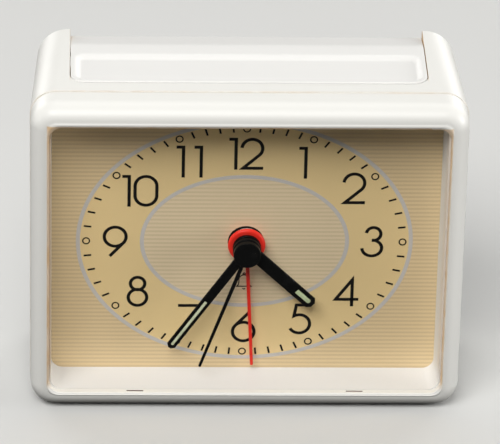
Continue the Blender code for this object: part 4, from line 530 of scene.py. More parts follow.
def arc(middle: Pair, radii: Pair, start: float, end: float, steps: int = 24) -> list[Pair]:
    """Points on part of an oval: middle + (a cos t, b sin t), angles in degrees."""
    angles = np.radians(np.linspace(start, end, steps + 1))
    return list(zip(middle[0] + radii[0] * np.cos(angles), middle[1] + radii[1] * np.sin(angles)))


def circle_arc(
    x: float, y: float, radius: float, start: float, end: float, steps: int = 5
) -> list[Pair]:
    """Points on part of a circle about x and y, angles in degrees."""
    return arc((x, y), (radius, radius), start, end, steps)


def slab(
    name: str,
    size: Pair,
    radius: float,
    centre: Pair,
    stations: Sequence[Pair],
    tighten: float = 1.0,
) -> Mesh:
    """Small rounded rectangle lofted along Y.

    Args:
        name: name of the mesh.
        size: its width and height.
        radius: radius of its corners.
        centre: X and Z of its middle.
        stations: pairs of how far it is drawn in and Y.
        tighten: share of the draw by which the radius shrinks.

    Returns:
        The mesh.
    """
    outlines = []
    for draw, y in stations:
        wide, tall = size[0] - 2 * draw, size[1] - 2 * draw
        outlines.append((rounded_ring(wide, tall, radius - tighten * draw, centre, 6, 2), y))
    return swept(name, outlines)


def carve(piece: Piece, tool: Mesh, joins: bool = False) -> None:
    """Cut a tool out of a piece, or join it on, and keep the result as the piece's mesh.

    Args:
        piece: the piece.
        tool: closed mesh, removed afterwards.
        joins: whether the tool is joined on.
    """
    cutter = bpy.data.objects.new("cutter", tool)
    bpy.context.scene.collection.objects.link(cutter)
    step = piece.modifiers.new("carve", "BOOLEAN")
    step.solver = "EXACT"
    step.operation = "UNION" if joins else "DIFFERENCE"
    step.object = cutter
    ready = piece.evaluated_get(bpy.context.evaluated_depsgraph_get())
    mesh = bpy.data.meshes.new_from_object(ready)
    piece.modifiers.clear()
    old, piece.data = piece.data, mesh
    bpy.data.meshes.remove(old)
    bpy.data.objects.remove(cutter)
    bpy.data.meshes.remove(tool)
    shade(mesh)


def settle_normals(piece: Piece) -> None:
    """Let large flat faces set the shading along the small rounds beside them.

    Args:
        piece: the piece.
    """
    step = piece.modifiers.new("even_shading", "WEIGHTED_NORMAL")
    step.keep_sharp = True
    step.weight = 50


def stand(
    name: str,
    mesh: Mesh,
    body: Body,
    material: Material,
    nodes: Sequence[str] = (),
) -> Piece:
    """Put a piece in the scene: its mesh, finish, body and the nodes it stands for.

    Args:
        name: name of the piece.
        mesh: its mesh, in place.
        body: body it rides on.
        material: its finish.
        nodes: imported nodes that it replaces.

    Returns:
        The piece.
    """
    piece = bpy.data.objects.new(name, mesh)
    bpy.context.scene.collection.objects.link(piece)
    mesh.name = name
    mesh.materials.clear()
    mesh.materials.append(material)
    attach(piece, body.value)
    if nodes:
        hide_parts(*nodes)
    log.info("%s: %d faces on %s", name, len(mesh.polygons), body.value)
    return piece


# ---- shared sizes


@dataclass(frozen=True)
class CaseForm:
    """Sizes that several pieces share, in metres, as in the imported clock.

    The opening and the window are given by width, height and corner radius, a notch by width and
    depth, the pin by Y, Z and radius, the finger by X and Y, shafts and hands by X and Z.
    """

    width: float = 0.1104
    height: float = 0.0874
    front: float = -0.02425
    seam: float = -0.0149
    dial: float = -0.0120
    dial_thickness: float = 0.0006
    rear: float = 0.02025
    seat_gap: float = 0.0003
    joint: float = 0.00005
    rim_step: float = 0.0002
    rim_round: float = 0.00012
    rim_radius: float = 0.0065
    shoulder_radius: float = 0.0080
    side_draft: float = 0.0017
    wall: float = 0.0020
    bezel_wall: float = 0.0020
    flange: float = 0.0022
    opening: Triple = (0.1006, 0.0764, 0.0032)
    opening_z: float = 0.0433
    window: Triple = (0.0980, 0.0755, 0.0030)
    window_z: float = 0.04325
    notch: Pair = (0.0043, 0.0009)
    notch_reach: Pair = (0.00115, 0.00165)
    notch_offset: float = 0.0282
    slot_width: float = 0.0903
    slot_front: float = -0.0097
    slot_radius: float = 0.0038
    crisp_radius: float = 0.0005
    well_floor: float = 0.0764
    pin: Triple = (0.01475, 0.0832, 0.00115)
    finger: Pair = (-0.0094, 0.0023)
    shafts: tuple[Pair, Pair] = ((-0.009149, 0.0360), (0.012584, 0.0360))
    hands: Pair = (0.0, 0.0430)

    @property
    def land(self) -> float:
        """Y of the flange behind the bezel's opening."""
        return self.front + self.flange

    @property
    def sill(self) -> float:
        """Height of the opening's lower edge."""
        return self.opening_z - self.opening[1] / 2

    def inset(self, sizes: Triple, draw: float, centre_z: float) -> np.ndarray:
        """Rounded rectangle drawn in on every side.

        Args:
            sizes: width, height and corner radius.
            draw: how far it is drawn in.
            centre_z: height of its middle.

        Returns:
            Points of X and Z.
        """
        radius = max(sizes[2] - draw, self.crisp_radius)
        return rounded_ring(sizes[0] - 2 * draw, sizes[1] - 2 * draw, radius, (0.0, centre_z))

    def bezel_ring(self, draw: float) -> np.ndarray:
        """Outline of the bezel's outside, drawn in."""
        sizes = (self.width - 2 * self.rim_step, self.height - 2 * self.rim_step, self.rim_radius)
        return self.inset(sizes, draw, self.height / 2)

    def opening_ring(self, draw: float) -> np.ndarray:
        """Outline of the bezel's opening, drawn in."""
        return self.inset(self.opening, draw, self.opening_z)

    def shell_ring(self, y: float, draw: float) -> np.ndarray:
        """Outline of the rear case at a depth: width and radius change evenly to the rear.

        Args:
            y: the depth.
            draw: how far it is drawn in.

        Returns:
            Points of X and Z.
        """
        share = (y - self.seam) / (self.rear - self.seam)
        radius = self.rim_radius + (self.shoulder_radius - self.rim_radius) * share
        sizes = (self.width - 2 * self.side_draft * share, self.height, radius)
        return self.inset(sizes, draw, self.height / 2)


def span(start: float, reach: Pair) -> Pair:
    """Two places, at two distances past a start."""
    return start + reach[0], start + reach[1]


# ---- finishes


@dataclass(frozen=True)
class Finish:
    """Base of the finishes: the material's name and main colour.

    In the finishes a size is the width of a noise's blotches, a grain or a brush is that width and
    a depth, a range or an edge is where a share runs from 0 to 1, a tone is a factor on the colour
    and what a noise adds to it, and a rough value is what a noise adds to the roughness.
    """

    name: str
    colour: Colour

    def build(self) -> Material:
        """Make the material."""
        raise NotImplementedError


@dataclass(frozen=True)
class MouldedPlastic(Finish):
    """White moulded plastic with a faint grain and a slow drift of colour."""

    roughness: float = 0.40
    drift: float = 0.012
    cloud_size: float = 0.030
    fine_size: float = 0.0009
    rough_cloud: float = 0.04
    rough_fine: float = 0.06
    grain: Pair = (0.00035, 0.000012)
    form: CaseForm = CaseForm()

    def aging_and_shade(self, shader: Shader, colour: Signal) -> Signal:
        """Colour with aging and painted shade laid on: a plain piece keeps the one given."""
        return colour

    def build(self) -> Material:
        """Make the material.

        Returns:
            The material.
        """
        shader = Shader(self.name)
        cloud, fine = shader.noise(self.cloud_size), shader.noise(self.fine_size, 3.0)
        tone = 1.0 + (cloud - 0.5) * (2.0 * self.drift) + (fine - 0.5) * (0.5 * self.drift)
        colour = self.aging_and_shade(shader, shader.tinted(self.colour, tone))
        rough = self.roughness + (fine - 0.5) * self.rough_fine + (cloud - 0.5) * self.rough_cloud
        normal = shader.bump(shader.noise(self.grain[0]), self.grain[1])
        return shader.surface(Base_Color=colour, Roughness=rough, Normal=normal)


@dataclass(frozen=True)
class CasePlastic(MouldedPlastic):
    """White case plastic: tan in the bar's well and along the seam, tan and painted shade round the
    opening.

    A fade is the pair of distances between which the tan comes or goes. The tan of the seam and
    the edge is a least share and what the stains add to it.
    """

    tan: Colour = srgb(210, 171, 119)
    # Dark brown painted into the clip notches as their shade.
    deep: Colour = srgb(96, 52, 38)
    stains: tuple[float, Pair] = (0.006, (0.42, 0.62))
    wall_tan: float = 0.9
    wall_fade: Pair = (0.0, 0.00012)
    wall_front: Pair = (-0.0005, 0.004)
    seam_tan: Pair = (0.08, 0.14)
    seam_fade: Pair = (0.0001, 0.0007)
    # Round the opening the tan is partly yellowing and partly painted shade with painted gold
    # bounce light.
    edge_tan_and_shade: Pair = (0.62, 0.25)
    edge_fade: Pair = (0.0006, 0.0001)
    edge_thinner: float = 0.0002
    edge_rear: float = 0.004
    sill_fade: Pair = (0.0005, 0.004)
    # Reach of the painted shade in the clip notches, below the sill and along Y.
    notch_shade_drop: Pair = (0.00005, 0.0015)
    notch_shade_margin: float = 0.0002
    notch_reach: float = 0.0006

    def aging_and_shade(self, shader: Shader, colour: Signal) -> Signal:
        """Tan the colour in three places and paint shade into the notches.

        The well's side walls are what lies within 0.12 mm of its half width. The seam's tan fades
        over 0.6 mm from its plane. Round the front opening the tan, partly yellowing and partly
        painted shade with painted gold bounce light, follows the larger of the distances past its
        sides and its ends. It is 0.2 mm thinner on the right and fades towards the sill, where two
        notches get painted shade.

        Args:
            shader: the material's nodes.
            colour: colour of the new plastic.

        Returns:
            The aged colour.
        """
        form = self.form
        x, y, z = shader.axes
        half, low = form.slot_width / 2, form.sill
        wall = 1.0 - abs(abs(x) - half).smooth(*self.wall_fade)
        wall = wall * y.smooth(*span(form.slot_front, self.wall_front))
        stain = shader.noise(self.stains[0], 3.0).smooth(*self.stains[1])
        line = 1.0 - abs(y - form.seam).smooth(*self.seam_fade)
        # Painted shade and yellowing round the opening: less on the right, fading towards the sill.
        sides, ends = form.opening[0] / 2, form.opening[1] / 2
        past = (abs(x) - sides).larger(abs(z - form.opening_z) - ends)
        edge = (past - (x < half) * self.edge_thinner).smooth(*self.edge_fade)
        edge = edge * (y < form.seam - self.edge_rear)
        edge = edge * z.smooth(*span(low, self.sill_fade))
        share = wall * self.wall_tan
        for place, (least, more) in ((line, self.seam_tan), (edge, self.edge_tan_and_shade)):
            share = share + place * (least + more * stain)
        # The blend holds the tan of the well and the seam, and the tan with painted shade round the
        # opening.
        aged = shader.blend(share.clamped(), colour, self.tan)
        # Painted shade: the clip notches under the sill are coloured dark brown.
        reach = form.notch[0] / 2 + self.notch_shade_margin
        middle = form.front + sum(form.notch_reach) / 2
        upper, lower = (low - drop for drop in self.notch_shade_drop)
        notch = (z < upper) * (z > lower) * (abs(abs(x) - form.notch_offset) < reach)
        notch = notch * (abs(y - middle) < self.notch_reach)
        return shader.blend(notch, aged, self.deep)


@dataclass(frozen=True)
class SurroundPlastic(MouldedPlastic):
    """White plastic of the dial's surround, tan along its front edge above the sill: partly
    yellowing, partly painted shade and gold bounce light.
    """

    # Tan along the front edge: partly yellowing, partly painted shade and painted gold bounce
    # light.
    tan: Colour = srgb(214, 182, 137)
    stains: float = 0.008
    front_fade: Pair = (0.0056, 0.0002)
    sill_fade: Pair = (0.001, 0.009)
    front_tan_and_shade: Pair = (0.46, 0.3)
    right_loss: float = 0.55

    def aging_and_shade(self, shader: Shader, colour: Signal) -> Signal:
        """Tan the colour over 5 mm from the front edge, and by less than half on the right: partly
        yellowing, partly painted shade and painted gold bounce light.

        Args:
            shader: the material's nodes.
            colour: colour of the new plastic.

        Returns:
            The aged colour.
        """
        x, y, z = shader.axes
        stain = shader.noise(self.stains, 3.0)
        # Painted shade with yellowing: strongest at the front edge and on the left, fading towards
        # the sill.
        share = y.smooth(*span(self.form.land, self.front_fade))
        share = share * z.smooth(*span(self.form.sill, self.sill_fade))
        least, more = self.front_tan_and_shade
        share = share * (least + more * stain) * (1.0 - (x > 0.0) * self.right_loss)
        return shader.blend(share, colour, self.tan)


@dataclass(frozen=True)
class MattPaint(Finish):
    """Even paint, ink or dyed plastic with a faint grain, paler where it is worn."""

    roughness: float
    scuff: float
    gloss: float = 0.3
    worn: Colour = (0.35, 0.34, 0.33)
    wear_size: float = 0.004
    wear_range: Pair = (0.55, 0.75)
    grain: Pair = (0.0005, 0.000008)
    rough_grain: float = 0.12

    def build(self) -> Material:
        """Make the material.

        Returns:
            The material.
        """
        shader = Shader(self.name)
        fine, wear = shader.noise(self.grain[0], 3.0), shader.noise(self.wear_size)
        share = wear.smooth(*self.wear_range) * self.scuff
        return shader.surface(
            Base_Color=shader.blend(share, self.colour, self.worn),
            Roughness=self.roughness + (fine - 0.5) * self.rough_grain,
            Specular_IOR_Level=self.gloss,
            Normal=shader.bump(fine, self.grain[1]),
        )


@dataclass(frozen=True)
class LumePaint(Finish):
    """Chalky glowing paint laid in a strip, grainy and slightly uneven."""

    aged: Colour
    roughness: float = 0.85
    patch_size: float = 0.0018
    patch_range: Pair = (0.35, 0.7)
    grain: Pair = (0.00025, 0.00003)
    grain_tone: Pair = (0.92, 0.16)

    def build(self) -> Material:
        """Make the material.

        Returns:
            The material.
        """
        shader = Shader(self.name)
        grain, patch = shader.noise(self.grain[0], 3.0), shader.noise(self.patch_size)
        colour = shader.blend(patch.smooth(*self.patch_range), self.colour, self.aged)
        colour = shader.tinted(colour, self.grain_tone[0] + grain * self.grain_tone[1])
        normal = shader.bump(grain, self.grain[1])
        return shader.surface(Base_Color=colour, Roughness=self.roughness, Normal=normal)


@dataclass(frozen=True)
class BareMetal(Finish):
    """Metal with fine brushing along one axis and slight tarnish."""

    roughness: float
    stretch: Triple = (1.0, 1.0, 8.0)
    tarnish: float = 0.12
    cloud_size: float = 0.005
    cloud_range: Pair = (0.45, 0.8)
    brush: Pair = (0.0006, 0.000006)
    rough_brush: float = 0.16

    def build(self) -> Material:
        """Make the material.

        Returns:
            The material.
        """
        shader = Shader(self.name)
        brush = shader.noise(self.brush[0], 3.0, self.stretch)
        cloud = shader.noise(self.cloud_size).smooth(*self.cloud_range)
        colour = shader.tinted(self.colour, 1.0 - cloud * self.tarnish)
        rough = self.roughness + (brush - 0.5) * self.rough_brush
        normal = shader.bump(brush, self.brush[1])
        return shader.surface(Base_Color=colour, Roughness=rough, Metallic=1.0, Normal=normal)


@dataclass(frozen=True)
class WoundWire(Finish):
    """Enamelled wire wound side by side: rounds repeat along Z at the wire's pitch, with painted
    shade in the grooves.
    """

    pitch: float
    # Share of the colour left in the grooves between rounds: painted shade.
    groove_shade: float = 0.35
    depth_share: float = 0.4
    roughness: float = 0.35
    metal: float = 0.8

    def build(self) -> Material:
        """Make the material.

        Returns:
            The material.
        """
        shader = Shader(self.name)
        # Painted shade: the colour darkens towards the grooves between the rounds.
        crown = 1.0 - abs((shader.axes[2] / self.pitch) % 1.0 * 2.0 - 1.0) ** 2.0
        colour = shader.tinted(self.colour, self.groove_shade + crown * (1 - self.groove_shade))
        normal = shader.bump(crown, self.pitch * self.depth_share)
        return shader.surface(
            Base_Color=colour, Roughness=self.roughness, Metallic=self.metal, Normal=normal
        )


@dataclass(frozen=True)
class CircuitBoard(Finish):
    """Green board with copper tracks under its lacquer, in steps of one pitch."""

    track: Colour
    pitch: float = 0.0024
    row_pitches: float = 2.5
    half_track: float = 0.16
    row_gap: float = 0.2
    copper: float = 0.00003
    roughness: float = 0.3

    def build(self) -> Material:
        """Make the material.

        Returns:
            The material.
        """
        shader = Shader(self.name)
        across = (shader.axes[0] / self.pitch) % 1.0
        along = (shader.axes[2] / (self.pitch * self.row_pitches)) % 1.0
        track = (abs(across - 0.5) < self.half_track) * (along > self.row_gap)
        colour = shader.blend(track, self.colour, self.track)
        normal = shader.bump(track, self.copper)
        return shader.surface(Base_Color=colour, Roughness=self.roughness, Normal=normal)


@dataclass(frozen=True)
class CellSleeve(Finish):
    """Plain printed sleeve of a round cell: a copper band at one end, dark over the rest."""

    band: Colour
    band_from: float

    def build(self) -> Material:
        """Make the material.

        Returns:
            The material.
        """
        shader = Shader(self.name)
        edge = shader.axes[0].smooth(self.band_from, self.band_from + 0.0002)
        fine = shader.noise(0.0008)
        colour = shader.tinted(shader.blend(edge, self.colour, self.band), 0.95 + fine * 0.1)
        rough = 0.3 + (fine - 0.5) * 0.08
        return shader.surface(Base_Color=colour, Roughness=rough, Metallic=0.25)


@dataclass(frozen=True)
class ClearPane(Finish):
    """Clear plastic window: nearly see-through, glossy, with a trace of haze."""

    cover: float = 0.002

    def build(self) -> Material:
        """Make the material.

        Returns:
            The material.
        """
        shader = Shader(self.name)
        haze = shader.noise(0.02, 3.0)
        alpha = self.cover + (haze - 0.5) * (0.4 * self.cover)
        return shader.surface(Base_Color=self.colour, Roughness=0.06 + haze * 0.03, Alpha=alpha)


@dataclass(frozen=True)
class PrintedGold(Finish):
    """Satin gold dial: plain between two ovals, fine level lines inside and outside them."""

    middle: Pair
    ovals: tuple[Pair, ...]
    outer_lines: tuple[Colour, Colour]
    inner_lines: tuple[Colour, Colour]
    pitch: float = 1.135 * MM
    line_edge: Pair = (0.30, 0.62)
    oval_edge: Pair = (0.998, 1.002)
    cloud_size: float = 0.012
    cloud_tone: Pair = (0.985, 0.03)
    grain: Pair = (0.0002, 0.000003)
    line_depth: float = 0.000004
    roughness: float = 0.42
    rough_cloud: float = 0.05
    metal: float = 0.08

    def build(self) -> Material:
        """Make the material.

        A point's oval measure is root((x/a)^2 + (z/b)^2), under 1 inside. The lines follow z
        divided by their pitch, with a soft edge.

        Returns:
            The material.
        """
        shader = Shader(self.name)
        x, z = shader.axes[0] - self.middle[0], shader.axes[2] - self.middle[1]
        outer, inner = (((x / a) * (x / a) + (z / b) * (z / b)).root() for a, b in self.ovals)
        outside, inside = outer.smooth(*self.oval_edge), inner.smooth(*self.oval_edge[::-1])
        line = 1.0 - abs((z / self.pitch) % 1.0 * 2.0 - 1.0).smooth(*self.line_edge)
        cloud = shader.noise(self.cloud_size, 3.0)
        colour = shader.tinted(self.colour, self.cloud_tone[0] + cloud * self.cloud_tone[1])
        for share, pair in ((outside, self.outer_lines), (inside, self.inner_lines)):
            colour = shader.blend(share, colour, shader.blend(line, *pair))
        grain = shader.bump(shader.noise(self.grain[0]), self.grain[1])
        normal = shader.bump(line * (inside + outside).clamped(), self.line_depth, grain)
        rough = self.roughness + (cloud - 0.5) * self.rough_cloud
        return shader.surface(
            Base_Color=colour, Roughness=rough, Metallic=self.metal, Normal=normal
        )


@dataclass(frozen=True)
class Backcloth(Finish):
    """Plain pale floor of the studio."""

    bounce: Colour

    def build(self) -> Material:
        """Make the material: pale to the eye, darker in the light that it returns.

        Returns:
            The material.
        """
        shader = Shader(self.name)
        rays = ("Is Camera Ray", "Is Transmission Ray")
        seen, through = (shader.node("ShaderNodeLightPath", result=ray) for ray in rays)
        colour = shader.blend((seen + through).clamped(), self.bounce, self.colour)
        colour = shader.tinted(colour, 0.99 + shader.noise(0.05) * 0.02)
        return shader.surface(Base_Color=colour, Roughness=0.9, Specular_IOR_Level=0.1)


# ---- sub-assemblies


@dataclass(frozen=True)
class FrontBezel:
    """White front ring: full round outside, crowned land, rounded lip, clip notches."""

    form: CaseForm = CaseForm()
    round_width: float = 0.0042
    round_depth: float = 0.0050
    crown: float = 0.00022
    lip: float = 0.0004

    def build(self, material: Material) -> Piece:
        """Sweep the profile round the frame and cut the notches.

        The land between the lip and the round is a blend of the two outlines, raised by
        crown * (1 - (2 s - 1)^2). The round is a quarter ellipse. Share s runs from 0 at the lip.

        Args:
            material: its finish.

        Returns:
            The piece.
        """
        form, lip, edge = self.form, self.lip, self.form.rim_round
        face, rear = form.front + self.crown, form.seam - form.joint / 2
        stations = [(form.opening_ring(0.0), form.land)]
        for draw, y in circle_arc(-lip, lip, lip, 0.0, -90.0):
            stations.append((form.opening_ring(draw), face + y))
        start, end = form.opening_ring(-lip), form.bezel_ring(self.round_width)
        for share in np.linspace(0.0, 1.0, 9)[1:-1]:
            lift = self.crown * (1 - (2 * share - 1) ** 2)
            stations.append((start * (1 - share) + end * share, face - lift))
        for turn in np.linspace(0.0, math.pi / 2, 15):
            draw = self.round_width * (1 - math.sin(turn))
            y = face + (self.round_depth - self.crown) * (1 - math.cos(turn))
            stations.append((form.bezel_ring(draw), y))
        for draw, y in circle_arc(edge, rear - edge, edge, 180.0, 90.0, 4):
            stations.append((form.bezel_ring(draw), y))
        inside = form.bezel_ring(form.bezel_wall)
        stations += [(inside, rear), (inside, form.land)]
        mesh = swept("bezel", stations, True)
        piece = stand("bezel_ring", mesh, Body.CASE, material, ["front_bezel"])
        wide, deep = form.notch
        near, far = (form.front + reach for reach in form.notch_reach)
        for side in (-1, 1):
            x = side * form.notch_offset - wide / 2
            low, high = (x, near, form.sill - deep), (x + wide, far, form.sill + MM)
            carve(piece, box_mesh("notch", low, high))
        settle_normals(piece)
        return piece


@dataclass(frozen=True)
class DialSurround:
    """White surround that narrows from the bezel's opening to the dial."""

    form: CaseForm = CaseForm()
    front_size: Triple = (0.0997, 0.0760, 0.0030)
    front_centre: Pair = (0.0, 0.04315)
    rear_size: Triple = (0.0989, 0.0752, 0.0030)
    rear_centre: Pair = (-0.0003, 0.0434)
    margin: float = 0.00125
    wall: float = 0.0010
    bow: float = 0.0006

    def inner_ring(self, share: float) -> np.ndarray:
        """Inside of the surround, with a slightly bowed floor.

        Args:
            share: share of its depth, 0 at the front.

        Returns:
            Points of X and Z.
        """
        near = rounded_ring(*self.front_size, self.front_centre)
        far = rounded_ring(*self.rear_size, self.rear_centre)
        ring = near * (1 - share) + far * share
        middle = self.form.hands[1]
        floor = np.clip((middle - ring[:, 1]) / middle, 0.0, 1.0) ** 8
        ring[:, 1] -= self.bow * math.sin(math.pi * share) * floor
        return ring

    def build(self, material: Material) -> Piece:
        """Sweep the surround's wall from the bezel's flange to the dial and back outside.

        The inside is a blend of two rounded rectangles, and its floor sinks by bow * sin(pi s).

        Args:
            material: its finish.

        Returns:
            The piece.
        """
        form, wall = self.form, self.wall
        front, rear = form.land + form.joint, form.dial - form.joint
        shares = np.linspace(0.0, 1.0, 25)[::-1]
        stations = [(self.inner_ring(share), front + (rear - front) * share) for share in shares]
        flange = form.bezel_ring(form.bezel_wall + form.seat_gap)
        waist = form.opening_ring(-wall / 2)
        foot = form.inset(form.window, -self.margin, form.window_z)
        stations += [(flange, front), (flange, front + wall), (waist, front + wall)]
        stations += [(waist, rear - wall), (foot, rear - wall), (foot, rear)]
        mesh = swept("surround", stations, True)
        return stand("dial_surround", mesh, Body.CASE, material, ["dial_frame"])


@dataclass(frozen=True)
class RearShell:
    """White rear shell with the bar's well, the battery bay, posts and openings.

    The posts are given by X, Z and radius, a slit by width, height and radius, the slits' rows by
    count, pitch and middle, the switch's window by its limits, the finger hole by half sizes.
    """

    form: CaseForm = CaseForm()
    edge: float = 0.0005
    lip_front: float = 0.0010
    lip_side: float = 0.00010
    well_wall: float = 0.00175
    tongue_wall: float = 0.0012
    tongue_reach: float = 0.0020
    bay_low: Triple = (-0.02805, 0.00375, 0.0034)
    bay_high: Triple = (0.02805, 0.01845, 0.0181)
    bay_wall: float = 0.0012
    posts: Triple = (0.0240, 0.0450, 0.0025)
    post_front: float = 0.0029
    shaft_radius: float = 0.0018
    shaft_soft: float = 0.0004
    opening_soft: float = 0.00025
    slit: Triple = (0.0180, 0.0012, 0.00055)
    slit_rows: tuple[int, float, float] = (5, 0.0030, 0.06045)
    switch: tuple[Pair, Pair] = ((0.0315, 0.0405), (0.0602, 0.0638))
    switch_radius: float = 0.0006
    finger_hole: Pair = (0.0042, 0.0019)

    def build(self, material: Material) -> Piece:
        """Loft the shell from its tongue round the rear edge, then join and cut its features.

        Args:
            material: its finish.

        Returns:
            The piece.
        """
        form, edge, small = self.form, self.edge, self.form.rim_round
        tongue = form.bezel_wall + form.rim_step + form.seat_gap
        thin, tip = tongue + self.tongue_wall, form.seam - self.tongue_reach
        rim, root = form.seam + form.joint / 2, form.seam + self.tongue_reach
        stations = [(form.wall, form.rear - form.wall), (form.wall, root), (thin, root)]
        stations += [(thin, tip), (tongue, tip), (tongue, rim)]
        stations += circle_arc(small, rim + small, small, 270.0, 180.0, 4)
        stations += [(0.0, form.seam + (form.rear - form.seam) * s) for s in (0.2, 0.4, 0.6, 0.8)]
        stations += circle_arc(edge, form.rear - edge, edge, 180.0, 90.0, 10)
        mesh = swept("shell", [(form.shell_ring(y, draw), y) for draw, y in stations])
        piece = stand("rear_shell", mesh, Body.CASE, material, ["rear_case"])
        for tool in self.additions():
            carve(piece, tool, True)
        for tool in (*self.inner_cuts(), *self.back_openings()):
            carve(piece, tool)
        x, y = form.finger
        wide, deep = self.finger_hole
        low = (x - wide, y - deep, form.well_floor - self.well_wall - MM)
        carve(piece, box_mesh("finger_hole", low, (x + wide, y + deep, form.well_floor + MM)))
        settle_normals(piece)
        return piece

    def additions(self) -> list[Mesh]:
        """Walls of the well and the bay, and two posts, as blocks to join on.

        Returns:
            The blocks.
        """
        form, wall = self.form, self.bay_wall
        half, low, high = form.wall / 2, self.bay_low, self.bay_high
        well_x, rear = form.slot_width / 2 + self.well_wall, form.rear - half
        well_y = form.dial + form.dial_thickness + form.seat_gap
        well_low = (-well_x, well_y, form.well_floor - self.well_wall)
        blocks = [box_mesh("well", well_low, (well_x, rear, form.height - half))]
        bay_high = (high[0] + wall, rear, high[2] + wall)
        blocks.append(box_mesh("bay", (low[0] - wall, low[1] - wall, half), bay_high))
        x, z, radius = self.posts
        profile = [(radius, self.post_front), (radius, rear)]
        return blocks + [turned("post", profile, (side * x, z), 32) for side in (-1, 1)]

    def inner_cuts(self) -> list[Mesh]:
        """Hollows of the well and the bay, and holes of the bar's pins and the knobs' shafts.

        Returns:
            The tools.
        """
        form, soft, radius = self.form, self.shaft_soft, self.shaft_radius
        tools = [self.slot_tool()]
        bay_high = (self.bay_high[0], form.rear + MM, self.bay_high[2])
        tools.append(box_mesh("bay", self.bay_low, bay_high))
        tools.append(pin_tool(form.slot_width / 2 + self.well_wall + MM, form.pin))
        profile = [(radius, form.rear - form.wall - MM)]
        profile += circle_arc(radius + soft, form.rear - soft, soft, 180.0, 90.0, 4)
        profile.append((radius + soft, form.rear + MM))
        return tools + [turned("shaft_hole", profile, centre, 40) for centre in form.shafts]

    def slot_tool(self) -> Mesh:
        """Tool of the bar's well: straight walls that flare in a quarter round at the top.

        At an angle a of the quarter turn the outline grows by lip * (1 - cos a) and rises by
        lip * sin a, so that the plastic left round it has a convex lip.

        Returns:
            The tool.
        """
        form, lift = self.form, self.lip_front
        rear = form.rear + MM
        turns = np.linspace(0.0, math.pi / 2, 9)
        levels = [(0.0, form.well_floor)]
        levels += [(1.0 - math.cos(a), form.height - lift + lift * math.sin(a)) for a in turns]
        levels.append((1.0, form.height + MM))
        stations = []
        for grown, z in levels:
            front = form.slot_front - lift * grown
            width = form.slot_width + 2 * self.lip_side * grown
            radii = (form.crisp_radius,) * 2 + (form.slot_radius + lift * grown,) * 2
            ring = rounded_ring(width, rear - front, radii, (0.0, (front + rear) / 2))
            stations.append((ring, z))
        return swept("slot", stations, plane=Plane.ALONG_Z)

    def back_openings(self) -> list[Mesh]:
        """Tools of the sound slits and the switch's window, with rounded ends and flared mouths.

        Returns:
            The tools.
        """
        inner, outer, soft = self.form.rear - self.form.wall - MM, self.form.rear, self.opening_soft
        rows, pitch, middle = self.slit_rows
        spans = [(self.slit, (0.0, middle + pitch * (row - (rows - 1) / 2))) for row in range(rows)]
        (left, right), (low, high) = self.switch
        centre = ((left + right) / 2, (low + high) / 2)
        spans.append(((right - left, high - low, self.switch_radius), centre))
        mouth = [(0.0, inner), (0.0, outer - soft), (-soft, outer), (-soft, outer + MM)]
        return [slab("back_opening", size[:2], size[2], at, mouth) for size, at in spans]


def pin_tool(reach: float, pin: Triple) -> Mesh:
    """Rod along X that cuts the holes of the bar's pins.

    Args:
        reach: half of its length.
        pin: its Y, Z and radius.

    Returns:
        The tool.
    """
    ring = np.array(circle_arc(*pin, 0, 360, 24)[:-1])
    return swept("pins", [(ring, -reach), (ring, reach)], plane=Plane.ALONG_X)


